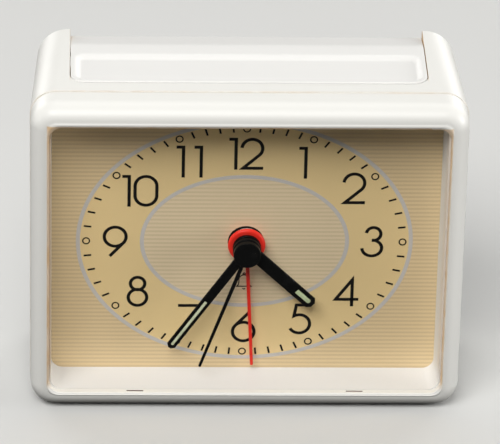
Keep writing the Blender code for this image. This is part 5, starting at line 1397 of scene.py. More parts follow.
@dataclass(frozen=True)
class PushBar:
    """Push bar: soft top edges, a slope behind its middle and a long finger recess.

    The finger under it, which presses the contact, is given by half sizes.
    """

    form: CaseForm = CaseForm()
    gap: float = 0.00015
    front_gap: float = 0.00026
    skirt: float = 0.0080
    rear_skirt: float = 0.0106
    wall: float = 0.0018
    edge: float = 0.0003
    side_edge: float = 0.6
    least_corner: float = 0.0006
    rear_drop: float = 0.0019
    slope_length: float = 0.0085
    rear_inset: float = 0.0005
    recess_margin: float = 0.0007
    recess_rear: float = 0.0062
    recess_corner: float = 0.0030
    recess_depth: float = 0.0010
    recess_slope: float = 0.0022
    hollow_front: float = -0.0200
    finger: Pair = (0.0030, 0.0007)
    finger_end: float = 0.0748

    @property
    def ends(self) -> Pair:
        """Y of the front and the rear of the bar."""
        return self.form.slot_front + self.front_gap, self.form.rear - self.rear_inset

    def fall(self, y: np.ndarray) -> np.ndarray:
        """Drop of the top behind its bend: 0, then a parabola over 2 mm, then a straight slope.

        Args:
            y: places along Y.

        Returns:
            The drop at each.
        """
        bend = self.ends[1] - self.slope_length
        rate = self.rear_drop / self.slope_length
        past = np.clip(y - (bend - MM), 0.0, None)
        return rate * np.where(past < 2 * MM, past**2 / (4 * MM), past - MM)

    def ring(self, draw: float) -> np.ndarray:
        """Plan outline of the bar, with rounded front corners and crisp rear ones.

        Args:
            draw: how far its front is drawn in; the sides and the rear follow by less.

        Returns:
            Points of X and Y.
        """
        form, (front, rear) = self.form, self.ends
        soft = max(form.slot_radius - self.gap - draw, self.least_corner)
        radii = (form.crisp_radius, form.crisp_radius, soft, soft)
        less = 1 - self.side_edge
        slim = self.side_edge * draw if draw <= self.edge else draw - less * self.edge
        size = (form.slot_width - 2 * self.gap - 2 * slim, rear - front - draw - slim)
        return rounded_ring(*size, radii, (0.0, (front + rear + draw - slim) / 2), side=24)

    def recess_ring(self, draw: float) -> np.ndarray:
        """Plan outline of the finger recess.

        Args:
            draw: how far it is drawn in.

        Returns:
            Points of X and Y.
        """
        front = self.ends[0] + self.recess_margin
        length = self.form.slot_width - 2 * (self.gap + self.recess_margin + draw)
        corner = max(self.recess_corner - draw, self.least_corner)
        centre = (0.0, (front + self.recess_rear) / 2)
        return rounded_ring(length, self.recess_rear - front - 2 * draw, corner, centre, side=24)

    def top_ring(self, outline: np.ndarray, drop: float) -> np.ndarray:
        """Lay an outline on the top, that far under it."""
        return laid(outline, self.form.height - drop - self.fall(outline[:, 1]), Plane.ALONG_Z)

    def build(self, material: Material) -> Piece:
        """Loft the bar from its hollow, round the skirt and over the top into the recess.

        The top edge is a quarter round. Between it and the recess each ring is a blend of the two
        outlines. The recess falls along half a cosine over its slope, to a flat bed.

        Args:
            material: its finish.

        Returns:
            The piece.
        """
        form, top, edge = self.form, self.form.height, self.edge
        inner, skirt = self.ring(self.wall), top - self.rear_skirt
        bed = top - self.rear_drop - self.wall
        levels = ((inner, bed), (inner, skirt), (self.ring(0.0), skirt))
        rings = [laid(outline, z, Plane.ALONG_Z) for outline, z in levels]
        for draw, rise in circle_arc(edge, -edge, edge, 180.0, 90.0, 8):
            rings.append(self.top_ring(self.ring(draw), -rise))
        start, end = self.ring(edge), self.recess_ring(0.0)
        for share in np.linspace(0.0, 1.0, 25)[1:]:
            rings.append(self.top_ring(start * (1 - share) + end * share, 0.0))
        for share in np.linspace(0.0, 1.0, 13)[1:]:
            depth = self.recess_depth * (0.5 - 0.5 * math.cos(math.pi * share))
            ring = self.top_ring(self.recess_ring(self.recess_slope * share), depth)
            ring[:, 2] = ring[:, 2] * (1 - share) + (top - depth) * share
            rings.append(ring)
        mesh = lofted("bar", rings)
        piece = stand("push_bar_top", mesh, Body.BAR, material, ["alarm_bar"])
        reach, rear = form.slot_width, self.ends[1] - self.wall - form.seat_gap
        low, high = (-reach, self.hollow_front, skirt - MM), (reach, rear, top - self.skirt)
        carve(piece, box_mesh("skirt", low, high))
        carve(piece, pin_tool(reach, form.pin))
        (x, y), (wide, deep) = form.finger, self.finger
        root = top - self.rear_drop - self.wall / 2
        low, high = (x - wide, y - deep, self.finger_end), (x + wide, y + deep, root)
        carve(piece, box_mesh("finger", low, high), True)
        settle_normals(piece)
        return piece


def mitres(line: np.ndarray, closed: bool) -> np.ndarray:
    """Steps to the left of a line that keep a copy one unit off parallel to it.

    At each point it is the sum of the two unit normals, over 1 plus their dot product.

    Args:
        line: points of two columns.
        closed: whether it joins its own start.

    Returns:
        One step per point.
    """
    after = np.roll(line, -1, axis=0) - line
    if not closed:
        after[-1] = line[-1] - line[-2]
    before = np.roll(after, 1, axis=0)
    if not closed:
        before[0] = after[0]
    normals = []
    for step in (before, after):
        unit = step / np.linalg.norm(step, axis=1, keepdims=True)
        normals.append(np.column_stack([-unit[:, 1], unit[:, 0]]))
    return sum(normals) / (1 + np.sum(normals[0] * normals[1], axis=1, keepdims=True))


def ribbon(name: str, line: np.ndarray, width: float, level: float, closed: bool = False) -> Mesh:
    """Printed line of even width: each side lies half the width off, with pointed joins.

    Args:
        name: name of the mesh.
        line: points of X and Z along its middle.
        width: its width.
        level: Y of its face.
        closed: whether it joins its own start.

    Returns:
        A mesh as thick as the print.
    """
    shift = mitres(line, closed) * (width / 2)
    corners = [(1, level), (-1, level), (-1, level + INK), (1, level + INK)]
    tubes = np.stack([laid(line + side * shift, y) for side, y in corners], axis=1)
    rows = len(line)
    faces = quads(rows, 4, closed, True).tolist()
    if not closed:
        faces += [[3, 2, 1, 0], list(range(4 * rows - 4, 4 * rows))]
    return mesh_of(name, tubes.reshape(-1, 3), faces)


@dataclass(frozen=True)
class NumeralSet:
    """Thin round numerals drawn with one even line, in millimetres about their middles."""

    height: float = 9.1
    line: float = 0.84
    tail: float = 48.0

    def strokes(self) -> dict[str, list[Stroke]]:
        """Middle lines of the digits; 9 is 6 turned by half a turn.

        Returns:
            Lines of points for each digit, each with whether it closes on itself.
        """
        top, full = (self.height - self.line) / 2, self.height / 2
        middle, radii, slope = (0.0, 2.76 - top), (2.78, 2.76), math.radians(self.tail)
        touch = arc(middle, radii, self.tail + 90, self.tail + 90, 1)[0]
        reach = (full - 0.25 - touch[1]) / math.sin(slope)
        end = (touch[0] + reach * math.cos(slope), full - 0.25)
        six = [(arc(middle, radii, 0, 360, 48)[:-1], True), ([touch, end], False)]
        half, lower = arc((0, top - 2.76), (2.76, 2.76), 0, 180), (0, 2.76 - top)
        two = arc((0.15, top - 2.62), (2.62, 2.62), 176, -47)
        three = arc((0.27, top - 1.87), (1.87, 1.87), 171, -90) + [(-0.15, top - 3.74)]
        five = arc((-0.12, 2.70 - top), (2.70, 2.70), 121, -150)
        rings = (((0, top - 1.84), (1.84, 1.84), 40), ((0, 2.36 - top), (2.37, 2.36), 44))
        return {
            "0": [(half + arc(lower, (2.76, 2.76), 180, 360), True)],
            "1": [([(-1.07, top), (0.69, top), (0.69, -full)], False)],
            "2": [(two + [(-2.14, -top), (3.0, -top)], False)],
            "3": [
                (three, False),
                (arc((-0.07, 2.30 - top), (2.53, 2.30), 90, -178), False),
            ],
            "4": [([(3.29, -2.5), (-2.59, -2.5), (1.59, 3.27), (1.59, -full)], False)],
            "5": [([(2.3, top), (-0.95, top)] + five, False)],
            "6": six,
            "7": [([(-2.95, top), (2.55, top), (-1.25, -full)], False)],
            "8": [(arc(at, size, 0, 360, steps)[:-1], True) for at, size, steps in rings],
            "9": [([(-x, -z) for x, z in points], closed) for points, closed in six],
        }


@dataclass(frozen=True)
class DialFace:
    """Printed dial: gold plate, ovals, minute track, numerals and an alarm sign.

    The plate is in metres and its print is in millimetres about the print's middle. A tick is
    given by length and line, a spot by radius and line, the hub's ring by radius, line and middle.
    """

    form: CaseForm = CaseForm()
    plate_margin: Pair = (0.0019, 0.00125)
    hole: float = 0.0032
    print_shift: float = -0.0005
    lift: float = 0.03 * MM
    oval_lift: float = 0.018 * MM
    digit_step: float = 0.0002 * MM
    track: Pair = (40.4, 32.4)
    ovals: tuple[Pair, Pair] = ((42.5, 34.1), (26.2, 18.7))
    oval_line: float = 1.0
    tick: Pair = (1.95, 0.50)
    spot: Pair = (0.86, 0.34)
    hub_ring: tuple[float, float, Pair] = (3.9, 1.5, (0.35, -0.2))
    sign: Pair = (0.1, -11.6)
    sign_line: float = 0.26
    numerals: NumeralSet = NumeralSet()
    digits: tuple[tuple[str, float, float], ...] = (
        ("1", -3.35, 25.3), ("2", 1.30, 25.3), ("1", 14.38, 22.81), ("2", 27.41, 15.51),
        ("3", 32.65, 0.04), ("4", 26.33, -14.40), ("5", 14.70, -22.78), ("6", 0.21, -25.18),
        ("7", -13.75, -23.00), ("8", -27.15, -14.75), ("9", -33.00, -0.13),
        ("1", -30.25, 14.54), ("0", -25.30, 14.54), ("1", -16.62, 22.99), ("1", -12.10, 22.99),
    )

    def printed(self, name: str, stroke: Stroke, width: float, lift: float) -> Mesh:
        """Line of print, moved to its place on the dial.

        Args:
            name: name of the mesh.
            stroke: points in millimetres about the print's middle, and whether they close.
            width: width of the line in millimetres.
            lift: how far its face lies in front of the plate, in metres.

        Returns:
            The line.
        """
        points, closed = stroke
        line = np.array(points, float) * MM + np.array([self.print_shift, self.form.hands[1]])
        return ribbon(name, line, width * MM, self.form.dial - lift, closed)

    def build(self, gold: Material, ink: Material, grey: Material) -> None:
        """Make the plate and the print on it.

        Args:
            gold: finish of the plate.
            ink: finish of the black print.
            grey: finish of the ovals' lines.
        """
        form, (more_x, more_z) = self.form, self.plate_margin
        size = (form.window[0] + 2 * more_x, form.window[1] + 2 * more_z, form.window[2])
        ring, rear = rounded_ring(*size, (0.0, form.window_z)), form.dial + form.dial_thickness
        mesh = swept("dial", [(ring, form.dial), (ring, rear)])
        plate = stand("dial_gold", mesh, Body.CASE, gold, ["dial_plate"])
        hole = [(self.hole, form.dial - MM), (self.hole, rear + MM)]
        carve(plate, turned("hand_hole", hole, form.hands, 72))
        ovals = [(arc((0, 0), oval, 0, 360, 180)[:-1], True) for oval in self.ovals]
        rims = [self.printed("oval", oval, self.oval_line, self.oval_lift) for oval in ovals]
        stand("dial_ovals", joined("ovals", rims), Body.CASE, grey)
        prints = {"track": self.track_marks(), "numerals": self.digit_marks()}
        prints["alarm_sign"] = self.sign_marks()
        for name, marks in prints.items():
            stand(f"dial_{name}", joined(name, marks), Body.CASE, ink)

    def track_marks(self) -> list[Mesh]:
        """Rings at the hours and radial dashes at the minutes, 6 degrees apart.

        At an angle t from twelve the track lies at a b / root((b sin t)^2 + (a cos t)^2).

        Returns:
            The marks.
        """
        (a, b), half, (radius, ring_line) = self.track, self.tick[0] / 2, self.spot
        marks = []
        for minute in range(60):
            turn = math.radians(6 * minute)
            way = np.array([math.sin(turn), math.cos(turn)])
            reach = a * b / math.hypot(b * way[0], a * way[1])
            if minute % 5 == 0:
                ring = arc(tuple(way * reach), (radius, radius), 0, 360, 28)[:-1]
                marks.append(self.printed("spot", (ring, True), ring_line, self.lift))
            else:
                dash = [tuple(way * (reach - half)), tuple(way * (reach + half))]
                marks.append(self.printed("tick", (dash, False), self.tick[1], self.lift))
        return marks

    def digit_marks(self) -> list[Mesh]:
        """Strokes of the hour numerals, each a little in front of the one before.

        Returns:
            The marks.
        """
        strokes, marks = self.numerals.strokes(), []
        for digit, x, z in self.digits:
            for points, closed in strokes[digit]:
                stroke = ([(x + px, z + pz) for px, pz in points], closed)
                lift = self.lift + len(marks) * self.digit_step
                marks.append(self.printed("digit", stroke, self.numerals.line, lift))
        return marks

    def sign_marks(self) -> list[Mesh]:
        """Small plain bell, and the black ring round the hands' line.

        The bell is a dome on flaring sides with a rim line, a knob and a clapper.

        Returns:
            The marks.
        """
        x, z = self.sign
        sides = arc((x - 2.3, z - 0.2), (1.0, 1.6), -60, 0, 8)
        sides += arc((x, z + 0.5), (1.3, 1.3), 180, 0, 16)
        sides += arc((x + 2.3, z - 0.2), (1.0, 1.6), 180, 240, 8)
        rim = [(x - 2.05, z - 1.55), (x + 2.05, z - 1.55)]
        knob = arc((x, z + 2.1), (0.28, 0.28), 0, 360, 12)[:-1]
        clapper = arc((x, z - 2.05), (0.30, 0.30), 180, 360, 8)
        strokes = [(sides, False), (rim, False), (knob, True), (clapper, False)]
        marks = [self.printed("bell", stroke, self.sign_line, self.lift) for stroke in strokes]
        radius, width, middle = self.hub_ring
        ring = (arc(middle, (radius, radius), 0, 360, 64)[:-1], True)
        return marks + [self.printed("hub_ring", ring, width, self.lift)]


@dataclass(frozen=True)
class HandForm:
    """Sizes of one hand in metres, and its turn clockwise from twelve in degrees.

    Its hub is given by radius and thickness, and its strip of paint by length and width.
    """

    node: str
    body: Body
    turn: float
    length: float
    width: float
    tip: float
    chamfer: float
    hub: Pair
    bore: float
    setoff: float
    slot: str = "hand_black"
    dish: float = 0.0
    rim: float = 0.0002
    heel: float = 0.00008
    lume: Pair = (0.0, 0.0)


@dataclass(frozen=True)
class Hands:
    """The four hands and their strips of paint, stacked outwards from the dial.

    A seat is given by radius and depth past the hub's middle. The paint's crown is pairs of how
    far it is drawn in and how far it lies behind the hand's front.
    """

    form: CaseForm = CaseForm()
    thickness: float = 0.0005
    soft: float = 0.00012
    core: float = 0.00012
    seat: Pair = (0.00055, 0.00015)
    lume_margin: float = 0.0010
    lume_gap: float = 0.0001
    crown: tuple[Pair, ...] = ((0.0, 0.00008), (0.00004, 0.00003), (0.00014, 0.0))
    alarm: HandForm = HandForm(
        "alarm_hand", Body.ALARM, 176.8, 0.0356, 0.0010, 0.0008, 0.0002,
        (0.0048, 0.0014), 0.00275, 0.0014, "hand_red", 0.00025, 0.0007, 0.0006,
    )
    hour: HandForm = HandForm(
        "hour_hand", Body.HOUR, 134.0, 0.0240, 0.0035, 0.0034, 0.0009,
        (0.0036, 0.0010), 0.0019, 0.0031, lume=(0.0050, 0.0014),
    )
    minute: HandForm = HandForm(
        "minute_hand", Body.MINUTE, 214.2, 0.0345, 0.0025, 0.0024, 0.0008,
        (0.0036, 0.0010), 0.0011, 0.0047, lume=(0.0155, 0.0009),
    )
    seconds: HandForm = HandForm(
        "seconds_hand", Body.SECONDS, 199.3, 0.0352, 0.0010, 0.0007, 0.0002,
        (0.0035, 0.0015), 0.0, 0.0063,
    )

    def turned_out(self, outline: np.ndarray, turn: float) -> np.ndarray:
        """Turn points across and along a hand clockwise from twelve, about the hands' line.

        Args:
            outline: the points, one row each.
            turn: the hand's turn in degrees.

        Returns:
            Points of X and Z.
        """
        angle = math.radians(turn)
        along = np.array([math.sin(angle), math.cos(angle)])
        across = np.array([math.cos(angle), -math.sin(angle)])
        return np.array(self.form.hands) + outline[:, :1] * across + outline[:, 1:] * along

    def blade(self, hand: HandForm) -> Mesh:
        """Flat blade that tapers evenly, with cut tip corners and a softened front edge.

        Half widths run from width / 2 at the line to tip / 2 at the end. The front outline is the
        same one drawn in along its mitres.

        Args:
            hand: the hand's sizes.

        Returns:
            The blade.
        """
        half, tip, cut, end = hand.width / 2, hand.tip / 2, hand.chamfer, hand.length
        right = np.array([(half, 0.0), (tip, end - cut), (tip - cut, end)])
        outline = np.concatenate([right, right[::-1] * (-1.0, 1.0)])
        back = self.form.dial - hand.setoff
        front = back - self.thickness
        inner = outline + mitres(outline, True) * self.soft
        levels = ((outline, back), (outline, front + self.soft), (inner, front))
        return swept("blade", [(self.turned_out(ring, hand.turn), y) for ring, y in levels])

    def make(self, hand: HandForm, material: Material) -> Piece:
        """Make a hand: a hub turned about its line, with the blade joined to its back.

        The hub's rim is a quarter round. Inside it the face sinks by dish * s^2, where the share s
        runs from 0 at the rim to 1 at the middle.

        Args:
            hand: the hand's sizes.
            material: its finish.

        Returns:
            The piece.
        """
        (radius, thickness), rim, line = hand.hub, hand.rim, self.form.hands
        back = self.form.dial - hand.setoff
        front, inside, core = back - thickness, radius - rim, hand.bore or self.core
        profile = [(core, back), (radius - hand.heel, back), (radius, back - hand.heel)]
        profile += circle_arc(inside, front + rim, rim, 0.0, -90.0)
        for share in (0.25, 0.5, 0.75, 1.0):
            profile.append((inside + (core - inside) * share, front + hand.dish * share * share))
        mesh = turned("hub", profile, line, 72, bool(hand.bore))
        name = f"{hand.node}_{hand.slot.split('_')[1]}"
        piece = stand(name, mesh, hand.body, material, [hand.node])
        carve(piece, self.blade(hand), True)
        if hand.bore:
            hole = [(hand.bore, front - MM), (hand.bore, back + MM)]
            carve(piece, turned("bore", hole, line, 72))
        else:
            size, past = self.seat
            seat = [(size, front + thickness / 2 - past), (size, back + MM)]
            carve(piece, turned("seat", seat, line, 32))
        return piece

    def strip(self, hand: HandForm, draw: float) -> np.ndarray:
        """Outline of a strip of paint: square at its inner end and round at its outer end.

        Args:
            hand: the hand's sizes.
            draw: how far it is drawn in.

        Returns:
            Points of X and Z.
        """
        (length, width), tip = hand.lume, hand.length - self.lume_margin
        half, start, end = width / 2 - draw, tip - length + draw, tip - draw
        outer = circle_arc(0.0, end - half, half, 0, 180, 14)
        return self.turned_out(np.array([(half, start)] + outer + [(-half, start)]), hand.turn)

    def glow(self, hand: HandForm, piece: Piece, material: Material) -> None:
        """Cut a strip's slot in its hand and lay the paint in it, slightly crowned.

        Args:
            hand: the hand's sizes.
            piece: the hand.
            material: the paint.
        """
        back, hole, gap = self.form.dial - hand.setoff, self.strip(hand, 0.0), self.lume_gap
        front = back - self.thickness
        carve(piece, swept("strip_slot", [(hole, front - MM), (hole, back + MM)]))
        levels = [(self.strip(hand, gap), back)]
        levels += [(self.strip(hand, gap + draw), front + y) for draw, y in self.crown]
        name, node = f"{hand.node.split('_')[0]}_glow", f"{hand.node}_lume"
        stand(name, swept("strip", levels), hand.body, material, [node])

    def build(self, black: Material, red: Material, glows: Sequence[Material]) -> None:
        """Make the four hands and the two strips.

        Args:
            black: finish of the black hands.
            red: finish of the alarm hand.
            glows: paint in the hour hand and in the minute hand.
        """
        self.make(self.alarm, red)
        for hand, paint in zip((self.hour, self.minute), glows):
            self.glow(hand, self.make(hand, black), paint)
        self.make(self.seconds, black)


@dataclass(frozen=True)
class BackControls:
    """Setting knobs, alarm switch and battery door on the back.

    A knob's reach is from and to where it stands behind the case, its bore is radius and depth,
    and its pip is radius and height. The thumb is given by width, height and reach, the flange by
    margin and thickness, a groove by width, depth and pitch, the door by size, corner radius and
    thickness, and a rib by length, width and height.
    """

    form: CaseForm = CaseForm()
    knob_radius: float = 0.0060
    knob_reach: Pair = (0.0004, 0.0040)
    knob_bore: Pair = (0.00155, 0.0024)
    knob_round: float = 0.0006
    knob_step: float = 0.0004
    knob_sink: float = 0.0005
    knob_chamfer: float = 0.0001
    knob_core: float = 0.0003
    knob_pip: Pair = (0.0010, 0.0002)
    knob_ribs: Ribs = Ribs(20, 0.0004, range(4, 9))
    soft: float = 0.0003
    switch: Pair = (0.0340, 0.0620)
    switch_radius: float = 0.0005
    thumb: Triple = (0.0044, 0.0030, 0.0015)
    flange: Pair = (0.0016, 0.0012)
    travel: float = 0.0040
    groove: Triple = (0.0005, 0.0004, 0.0011)
    door: tuple[Pair, float, float] = ((0.0555, 0.0141), 0.0010, 0.0018)
    door_z: float = 0.01075
    rib_count: int = 4
    rib: Triple = (0.0120, 0.0008, 0.0005)
    rib_pitch: float = 0.0020
    rib_radius: float = 0.48
    rib_round: float = 0.6

    def build(self, black: Material, white: Material) -> None:
        """Make the controls.

        Args:
            black: finish of the knobs and the switch.
            white: finish of the door.
        """
        bodies = {"alarm": Body.ALARM_KNOB, "time": Body.TIME_KNOB}
        for (name, body), centre in zip(bodies.items(), self.form.shafts):
            mesh = self.knob_mesh(centre)
            stand(f"{name}_dial_knob", mesh, body, black, [f"{name}_set_knob"])
        self.make_switch(black)
        self.make_door(white)

    def knob_mesh(self, centre: Pair) -> Mesh:
        """Ribbed knob with a rounded rim, a sunk face and a bore for its shaft.

        The ribs are radius - depth * (1 - cos(n a)) / 2 round the side and fade at both ends.

        Args:
            centre: X and Z of its line.

        Returns:
            The knob.
        """
        start, end = (self.form.rear + reach for reach in self.knob_reach)
        radius, soft, step, core = self.knob_radius, self.knob_round, self.knob_step, self.knob_core
        (bore, depth), (pip, proud), face = self.knob_bore, self.knob_pip, end - self.knob_sink
        profile = [(core, start + depth), (bore, start + depth), (bore, start)]
        profile += [(radius - soft, start), (radius - self.knob_chamfer, start + step)]
        profile += [(radius, start + soft)]
        profile += circle_arc(radius - soft, end - soft, soft, 0.0, 90.0)
        profile += [(radius - 3 * step, end), (radius - 4 * step, end - 0.7 * self.knob_sink)]
        profile += [(radius - 5 * step, face), (3 * step, face), (pip, face + proud)]
        profile.append((core, face + proud))
        ribs = self.knob_ribs
        return turned("knob", profile, centre, ribs.count * 8, ribs=ribs)

    def make_switch(self, material: Material) -> None:
        """Slide: a flange behind the wall and a thumb with three grip grooves through it.

        Args:
            material: its finish.
        """
        (x, z), (wide, tall, proud), (margin, thick) = self.switch, self.thumb, self.flange
        back, end = self.form.rear - self.form.wall - self.form.seat_gap, self.form.rear + proud
        size = (2 * (wide / 2 + self.travel + margin), 2 * (tall / 2 + margin))
        levels = [(0.0, back - thick), (0.0, back)]
        mesh = slab("flange", size, self.switch_radius, self.switch, levels)
        slide = ["alarm_switch_slider"]
        piece = stand("alarm_slide", mesh, Body.SWITCH, material, slide)
        levels = [(0.0, back - thick / 2)]
        levels += circle_arc(self.soft, end - self.soft, self.soft, 180.0, 90.0, 4)
        thumb = slab("thumb", (wide, tall), self.switch_radius, self.switch, levels, 0.0)
        carve(piece, thumb, True)
        width, depth, pitch = self.groove
        for row in (-1, 0, 1):
            left = x + row * pitch - width / 2
            low, high = (left, end - depth, z - tall), (left + width, end + MM, z + tall)
            carve(piece, box_mesh("groove", low, high))
        settle_normals(piece)

    def make_door(self, material: Material) -> None:
        """Door: a plate with soft outer edges and rounded grip ribs across its middle.

        Args:
            material: its finish.
        """
        rear, soft, (size, radius, thickness) = self.form.rear, self.soft, self.door
        levels = [(0.0, rear - thickness)]
        levels += circle_arc(soft, rear - soft, soft, 180.0, 90.0)
        mesh = slab("door", size, radius, (0.0, self.door_z), levels)
        piece = stand("battery_hatch", mesh, Body.DOOR, material, ["battery_door"])
        long, wide, tall = self.rib
        curve, tighten = tall * self.rib_round, 2 * self.rib_radius
        levels = [(0.0, rear - tall)]
        levels += circle_arc(curve, rear + tall - curve, curve, 180.0, 90.0, 4)
        for row in range(self.rib_count):
            centre = (0.0, self.door_z + self.rib_pitch * (row - (self.rib_count - 1) / 2))
            rib = slab("rib", (long, wide), wide * self.rib_radius, centre, levels, tighten)
            carve(piece, rib, True)
        settle_normals(piece)


@dataclass(frozen=True)
class InnerWorks:
    """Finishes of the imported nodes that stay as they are."""

    nodes: dict[str, Piece]
    wire_pitch: float = 0.00012
    band_share: float = 0.3
    plastic: str = (
        "movement_frame train_bridge movement_cover alarm_wheel hour_wheel minute_wheel "
        "alarm_set_shaft time_set_shaft seconds_wheel third_wheel centre_wheel rotor_wheel"
    )
    steel: str = (
        "bar_pivot_pin_left bar_pivot_pin_right bar_return_spring battery_plate_contact "
        "battery_spring_contact movement_screw_1 movement_screw_2 movement_screw_3 "
        "movement_screw_4 stator quartz_crystal"
    )
    brass: str = "piezo_disc minute_tube alarm_contact stop_contact"

    def build(self) -> None:
        """Give every node that stays a detailed finish."""
        low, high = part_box("battery")
        band = low[0] + self.band_share * (high[0] - low[0])
        brass, green, even = (0.78, 0.56, 0.24), (0.02, 0.13, 0.05), (1.0, 1.0, 1.0)
        groups: tuple[tuple[Finish, str], ...] = (
            (MattPaint("works_plastic", (0.66, 0.64, 0.56), 0.42, 0.05), self.plastic),
            (BareMetal("works_steel", (0.62, 0.62, 0.61), 0.28), self.steel),
            (BareMetal("works_brass", brass, 0.30, even, 0.2), self.brass),
            (MattPaint("works_black", (0.012, 0.012, 0.013), 0.5, 0.1), "buzzer_cup coil_bobbin"),
            (MattPaint("works_magnet", (0.08, 0.08, 0.09), 0.4, 0.15), "rotor clock_chip"),
            (WoundWire("winding_wire", (0.62, 0.22, 0.08), self.wire_pitch), "coil_winding"),
            (CircuitBoard("board_lacquer", green, (0.05, 0.22, 0.08)), "circuit_board"),
            (CellSleeve("cell_sleeve", (0.03, 0.05, 0.12), (0.55, 0.30, 0.12), band), "battery"),
            (ClearPane("window_pane", (0.93, 0.95, 0.95)), "lens"),
        )
        for finish, names in groups:
            material = finish.build()
            for name in names.split():
                for place in self.nodes[name].material_slots:
                    place.material = material
                log.info("%s: %s", name, material.name)


@dataclass(frozen=True)
class Lamp:
    """Large soft lamp that faces the clock.

    Its turn is about the upright from straight in front, to the right, and its lift is above the
    floor, both in degrees. Its share is that of the light at which a colour renders as written.
    """

    name: str
    turn: float
    lift: float
    share: float
    width: float = 0.75
    height: float = 0.75
    distance: float = 1.5
    aim: Triple = (0.0, 0.0, 0.045)
    colour: Colour = (1.0, 0.995, 0.985)

    def build(self) -> None:
        """Add the lamp: at a distance d its power is share * (pi d)^2."""
        angle, rise = math.radians(self.turn), math.radians(self.lift)
        level = math.cos(rise)
        way = (math.sin(angle) * level, -math.cos(angle) * level, math.sin(rise))
        place = [a + self.distance * w for a, w in zip(self.aim, way)]
        lamp = bpy.data.lights.new(self.name, "AREA")
        lamp.shape = "RECTANGLE"
        lamp.size, lamp.size_y = self.width, self.height
        lamp.energy = self.share * (math.pi * self.distance) ** 2
        lamp.color = self.colour
        holder = bpy.data.objects.new(self.name, lamp)
        holder.matrix_world = facing(place, self.aim)
        holder.visible_camera = False
        bpy.context.scene.collection.objects.link(holder)


@dataclass(frozen=True)
class Studio:
    """Pale floor, faint surround, six large soft lamps and the photo's viewpoint."""

    floor: Colour = srgb(208, 208, 206)
    bounce: Colour = srgb(72, 72, 71)
    floor_x: tuple[float, float, int] = (-3.0, 3.0, 13)
    floor_y: tuple[float, float, int] = (-2.0, 3.6, 57)
    floor_bend: float = 1.2
    floor_drop: float = 0.00002
    ambient: float = 0.04
    sky: Colour = (0.97, 0.99, 1.0)
    lamps: tuple[Lamp, ...] = (
        Lamp("front", -22.0, 51.0, 0.965, 1.1),
        Lamp("right", 82.0, 10.0, 0.78),
        Lamp("left", -82.0, 10.0, 0.25),
        Lamp("rear_right", 142.0, 18.0, 0.30),
        Lamp("rear_left", -142.0, 18.0, 0.30),
        Lamp("rear_top", 180.0, 65.0, 0.15),
    )
    focal: float = 349.2
    sensor: float = 36.0
    clip: Pair = (0.1, 20.0)
    pitch: float = 28.70
    yaw: float = 2.40
    roll: float = 1.38
    unit: float = 0.0002552
    shift: Triple = (-5.5, 19.37, 4850.0)
    aim: Triple = (-0.0005, -0.0120, 0.0430)

    def build(self) -> None:
        """Set up the floor, the light and the camera."""
        self.make_floor()
        self.make_surround()
        for lamp in self.lamps:
            lamp.build()
        self.make_camera()
        bpy.context.scene.view_settings.view_transform = "Standard"

    def make_floor(self) -> None:
        """Lay a wide floor that rises evenly behind the object: z = (y - bend)^2 / 4."""
        across, along = np.meshgrid(np.linspace(*self.floor_x), np.linspace(*self.floor_y))
        rise = np.clip(along - self.floor_bend, 0.0, None) ** 2 / 4
        heights = rise.ravel() - self.floor_drop
        points = np.column_stack([across.ravel(), along.ravel(), heights])
        mesh = bpy.data.meshes.new("studio_floor")
        faces = quads(self.floor_y[2], self.floor_x[2], False, False)
        mesh.from_pydata(points.tolist(), [], faces.tolist())
        mesh.update()
        mesh.shade_smooth()
        mesh.materials.append(Backcloth("studio_cloth", self.floor, self.bounce).build())
        floor = bpy.data.objects.new("studio_floor", mesh)
        bpy.context.scene.collection.objects.link(floor)

    def make_surround(self) -> None:
        """Add a faint even surround."""
        world = bpy.data.worlds.new("studio_surround")
        world.use_nodes = True
        sockets = world.node_tree.nodes["Background"].inputs
        sockets["Color"].default_value = (*self.sky, 1.0)
        sockets["Strength"].default_value = self.ambient
        bpy.context.scene.world = world

    def make_camera(self) -> None:
        """Place the camera where the fit to the photo puts it.

        Its axes are three turns of the clock's, and its place follows from where the middle of
        the dial lies in its view, in units of one dial step.
        """
        up, side, lean = (math.radians(a) for a in (self.pitch + 90.0, self.yaw, self.roll))
        axes = turn_about(2, lean) @ turn_about(0, up) @ turn_about(2, side)
        place = -axes.T @ np.array(self.shift) * self.unit + np.array(self.aim)
        data = bpy.data.cameras.new("photo_view")
        data.lens, data.sensor_width = self.focal, self.sensor
        data.clip_start, data.clip_end = self.clip
        camera = bpy.data.objects.new("photo_view", data)
        camera.matrix_world = placed(np.column_stack([axes[0], -axes[1], -axes[2]]), place)
        bpy.context.scene.collection.objects.link(camera)
        bpy.context.scene.camera = camera


def turn_about(fixed: int, angle: float) -> np.ndarray:
    """Turn about one axis: cos a twice, -sin a and sin a in the rows of the other two.

    Args:
        fixed: number of the axis, 0 for X.
        angle: the turn in radians.

    Returns:
        The matrix.
    """
    first, second = (axis for axis in range(3) if axis != fixed)
    matrix = np.eye(3)
    matrix[first, first] = matrix[second, second] = math.cos(angle)
    matrix[first, second], matrix[second, first] = -math.sin(angle), math.sin(angle)
    return matrix


def placed(axes: np.ndarray, place: Sequence[float]) -> Matrix:
    """Matrix of an object.

    Args:
        axes: its axes as columns.
        place: its place.

    Returns:
        The matrix.
    """
    whole = np.eye(4)
    whole[:3, :3] = axes
    whole[:3, 3] = place
    return Matrix(whole.tolist())


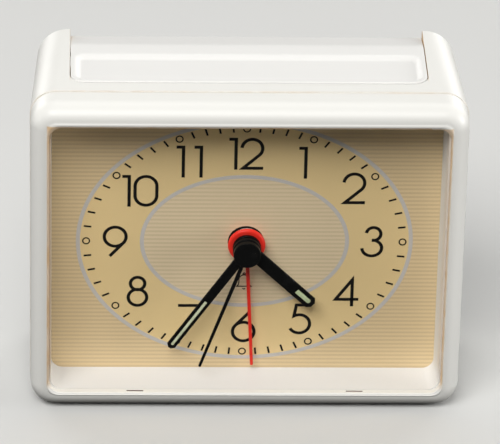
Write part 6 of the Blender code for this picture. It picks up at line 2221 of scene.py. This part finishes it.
def facing(place: Sequence[float], target: Sequence[float]) -> Matrix:
    """Matrix of a lamp that shines at a target.

    Args:
        place: place of the lamp.
        target: the target.

    Returns:
        The matrix.
    """
    back = np.array(place, float) - np.array(target, float)
    back /= np.linalg.norm(back)
    right = np.cross((0.0, 0.0, 1.0), back)
    right /= np.linalg.norm(right)
    return placed(np.column_stack([right, np.cross(back, right), back]), place)


def main() -> None:
    """Dress the clock and set up the studio."""
    logging.basicConfig(level=logging.INFO, format="%(message)s")
    case = CasePlastic("case_plastic", srgb(233, 232, 227)).build()
    surround = SurroundPlastic("surround_plastic", srgb(228, 228, 227)).build()
    bar = MouldedPlastic("bar_plastic", srgb(232, 231, 228)).build()
    door = MouldedPlastic("door_plastic", srgb(233, 232, 227)).build()
    FrontBezel().build(case)
    DialSurround().build(surround)
    RearShell().build(case)
    PushBar().build(bar)
    dial = DialFace()
    gold = PrintedGold(
        "dial_gold",
        srgb(243, 215, 157),
        (dial.print_shift, dial.form.hands[1]),
        tuple((a * MM, b * MM) for a, b in dial.ovals),
        (srgb(235, 210, 164), srgb(221, 196, 153)),
        (srgb(240, 219, 184), srgb(227, 207, 166)),
    ).build()
    ink = MattPaint("dial_ink", (0.008, 0.007, 0.006), 0.5, 0.0, 0.1).build()
    grey = MattPaint("dial_grey", srgb(203, 198, 192), 0.45, 0.1).build()
    dial.build(gold, ink, grey)
    black = MattPaint("hand_paint_black", (0.003, 0.003, 0.003), 0.22, 0.01, 0.05).build()
    red = MattPaint("hand_paint_red", srgb(236, 46, 32), 0.38, 0.03).build()
    glows = (
        LumePaint("hour_glow_paint", srgb(200, 213, 169), srgb(184, 197, 152)).build(),
        LumePaint("minute_glow_paint", srgb(224, 228, 192), srgb(202, 207, 170)).build(),
    )
    Hands().build(black, red, glows)
    knob = MattPaint("knob_plastic", (0.014, 0.014, 0.015), 0.5, 0.15).build()
    BackControls().build(knob, door)
    InnerWorks(frame["nodes"]).build()
    Studio().build()


if __name__ == "__main__":
    main()
